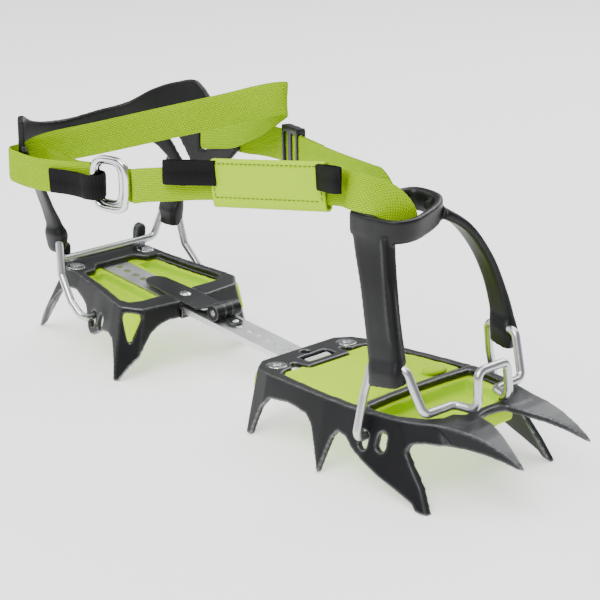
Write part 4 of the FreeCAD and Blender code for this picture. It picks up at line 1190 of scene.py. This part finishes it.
@dataclass
class LabelSleeve:
    """Plain stitched sleeve over the near strap, with a black pull loop at each end."""

    palette: Palette
    rear: tuple = (136.6, -36.7, 116.6)
    front: tuple = (193.6, -19.5, 123.2)
    tall: float = 22.6
    wide: float = 6.4

    def build(self) -> None:
        """Makes the sleeve, its stitches and its loops."""
        start, end = Vector(self.rear), Vector(self.front)
        ahead = (end - start).normalized()
        side = ahead.cross(Vector((0, 0, 1))).normalized()
        rise = side.cross(ahead).normalized()
        bm = bmesh.new()
        uv = bm.loops.layers.uv.new("Weave")
        rings = []
        length = (end - start).length
        count = 40
        for k in range(count + 1):
            t = k / count
            middle = start.lerp(end, t)
            ring = []
            for c in range(28):
                turn = 2 * math.pi * c / 28
                x = math.copysign(abs(math.cos(turn)) ** 0.5, math.cos(turn)) * (0.5 * self.wide)
                z = math.copysign(abs(math.sin(turn)) ** 0.35, math.sin(turn)) * (0.5 * self.tall)
                ring.append(at(middle + side * x + rise * z))
            rings.append(ring)
        rings_to_skin(bm, rings, capped=False)
        for face in bm.faces:
            for loop in face.loops:
                away = loop.vert.co / MM - LAYOUT_ZERO - start
                loop[uv].uv = (away.dot(ahead), away.dot(rise))
        bmesh.ops.recalc_face_normals(bm, faces=bm.faces)
        bmesh.ops.solidify(bm, geom=bm.faces, thickness=0.9 * MM)
        piece = add_piece("label_sleeve_sewn", bm, self.palette.label_cloth, 50)
        settle(piece, Body.SLEEVE, "lime_label", "label_sleeve")
        self.stitches(start, ahead, side, rise, length)
        self.loop("keeper_loop_rear_ribbed", start - ahead * 26.0, start + ahead * 3.0, side, rise,
                  "keeper_loop_rear")
        self.loop("keeper_loop_front_ribbed", end + Vector((20.5, -9.6, 4.4)), end - ahead * 3.0, side, rise,
                  "keeper_loop_front")

    def stitches(self, start: Vector, ahead: Vector, side: Vector, rise: Vector, length: float) -> None:
        """Sews a row of short stitches round the sleeve's outer face.

        Args:
            start: the sleeve's rear end on the strap's middle line.
            ahead: unit vector along the sleeve.
            side: unit vector out of its outer face.
            rise: unit vector up its face.
            length: the sleeve's length in mm.
        """
        inset, long, gap = 1.6, 1.5, 2.4
        low, high = -0.5 * self.tall + 5.2, 0.5 * self.tall - 1.4
        bm = bmesh.new()
        runs = [((inset, low), (length - inset, low)), ((inset, high), (length - inset, high)),
                ((inset, low), (inset, high)), ((length - inset, low), (length - inset, high))]
        for (a0, h0), (a1, h1) in runs:
            span = math.hypot(a1 - a0, h1 - h0)
            for n in range(int(span / gap)):
                t = (n + 0.5) * gap / span
                a, h = a0 + (a1 - a0) * t, h0 + (h1 - h0) * t
                middle = start + ahead * a + rise * h + side * (0.5 * self.wide + 0.05)
                along_it = ahead if h0 == h1 else rise
                made = bmesh.ops.create_cube(bm, size=1.0)
                turn = Matrix((along_it, side, along_it.cross(side))).transposed().to_4x4()
                size = Matrix.Diagonal((long * MM, 0.34 * MM, 0.34 * MM, 1.0))
                bmesh.ops.transform(bm, verts=made["verts"],
                                    matrix=Matrix.Translation(at(middle)) @ turn @ size)
        bmesh.ops.recalc_face_normals(bm, faces=bm.faces)
        piece = add_piece("label_sleeve_stitches", bm, self.palette.dark_thread, 80)
        settle(piece, Body.SLEEVE, "lime_label")

    def loop(self, name: str, fold: Vector, root: Vector, side: Vector, rise: Vector, node: str) -> None:
        """Adds one folded pull loop of black webbing.

        Args:
            name: the piece's name.
            fold: where the webbing turns back.
            root: where both ends are sewn under the sleeve.
            side: unit vector out of the sleeve's outer face.
            rise: unit vector up its face.
            node: the node it replaces.
        """
        up = rise * 5.2
        inner, outer = side * 2.3, side * 4.6
        turn = (fold - root).normalized()
        route = [root + inner + up, fold - turn * 3 + inner + up, fold + 0.5 * (inner + outer) + up,
                 fold - turn * 3 + outer * 1.1 + up, root + outer * 0.82 + up]
        ribbon = Ribbon([tuple(p) for p in route], width=11.6, thick=1.1, step=0.8)
        piece = add_piece(name, ribbon.mesh(), self.palette.black_webbing, 60)
        settle(piece, Body.SLEEVE, "black_webbing", node)


@dataclass
class SliderBuckle:
    """Ladder slider on the far strap."""

    palette: Palette
    voxel: float = 0.0005
    passes: int = 3

    def build(self, frame: dict) -> None:
        """Makes the slider from the design's body, with rounded bars.

        Args:
            frame: the loaded frame.
        """
        bm = merged_copy(frame, "slider_buckle")
        piece = add_piece("slider_buckle_moulded", bm, self.palette.buckle_plastic)
        flowed(piece, self.voxel, self.passes)
        settle(piece, Body.SLIDER, "black_buckle", "slider_buckle")


# ------------------------------------------------------------------ studio


@dataclass
class Studio:
    """Pale floor, soft lights and the camera."""

    floor_colour: tuple = (0.86, 0.86, 0.86, 1.0)
    floor_glow: float = 0.75
    room_colour: tuple = (0.95, 0.96, 1.0, 1.0)
    room_light: float = 0.34
    eye: tuple = (736.8, -552.65, 333.5)
    right: tuple = (0.6893, 0.7245, 0.0)
    up: tuple = (-0.2373, 0.2257, 0.9448)
    roll: float = 0.0096
    lens: float = 106.03

    def build(self) -> None:
        """Sets up everything round the object."""
        self.floor()
        self.light("key", (0.35, -0.9, 1.25), 0.9, 26.0)
        self.light("fill", (-1.1, -0.7, 0.9), 1.2, 12.0)
        self.light("rim", (-0.2, 1.1, 1.0), 1.0, 16.0)
        self.light("top", (0.0, 0.0, 1.6), 1.4, 14.0)
        world = bpy.data.worlds.new("Soft room")
        world.use_nodes = True
        world.node_tree.nodes["Background"].inputs[0].default_value = self.room_colour
        world.node_tree.nodes["Background"].inputs[1].default_value = self.room_light
        bpy.context.scene.world = world
        self.camera()

    def floor(self) -> None:
        """Lays a wide plain floor."""
        bm = bmesh.new()
        bmesh.ops.create_grid(bm, x_segments=1, y_segments=1, size=4.0)
        material, _, shader = start_material("Pale floor")
        shader.inputs["Base Color"].default_value = self.floor_colour
        shader.inputs["Roughness"].default_value = 0.8
        shader.inputs["Emission Color"].default_value = (1.0, 1.0, 1.0, 1.0)
        shader.inputs["Emission Strength"].default_value = self.floor_glow
        add_piece("floor", bm, material)

    def light(self, name: str, place: Point, size: float, power: float) -> None:
        """Adds one area light that looks at the object.

        Args:
            name: the light's name.
            place: where it stands, in metres.
            size: its width in metres.
            power: its power in watts.
        """
        data = bpy.data.lights.new(name, "AREA")
        data.size = size
        data.energy = power
        lamp = bpy.data.objects.new(name, data)
        lamp.location = place
        lamp.rotation_euler = (Vector((0, 0, 0.07)) - Vector(place)).to_track_quat("-Z", "Y").to_euler()
        bpy.context.scene.collection.objects.link(lamp)

    def camera(self) -> None:
        """Places the camera."""
        data = bpy.data.cameras.new("view")
        data.lens = self.lens
        data.clip_start = 0.01
        data.clip_end = 20.0
        eye = bpy.data.objects.new("view", data)
        right, up = Vector(self.right), Vector(self.up)
        cos, sin = math.cos(self.roll), math.sin(self.roll)
        turned_right, turned_up = right * cos + up * sin, up * cos - right * sin
        back = turned_right.cross(turned_up)
        axes = Matrix((turned_right, turned_up, back)).transposed().to_4x4()
        eye.matrix_world = Matrix.Translation(at(self.eye)) @ axes
        bpy.context.scene.collection.objects.link(eye)
        bpy.context.scene.camera = eye


def main() -> None:
    """Builds the crampon's visible pieces round the frame."""
    logging.basicConfig(level=logging.INFO, format="%(name)s: %(message)s")
    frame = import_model()
    palette = Palette()
    Studio().build()
    SteelFrames(palette).build(frame)
    AntiballPlates(palette).build(frame)
    Hardware(palette).build(frame)
    StrapRings(palette).build()
    ToeBasket(palette).build()
    HeelCup(palette).build()
    Harness(palette).build()
    LabelSleeve(palette).build()
    SliderBuckle(palette).build(frame)


if __name__ == "__main__":
    main()
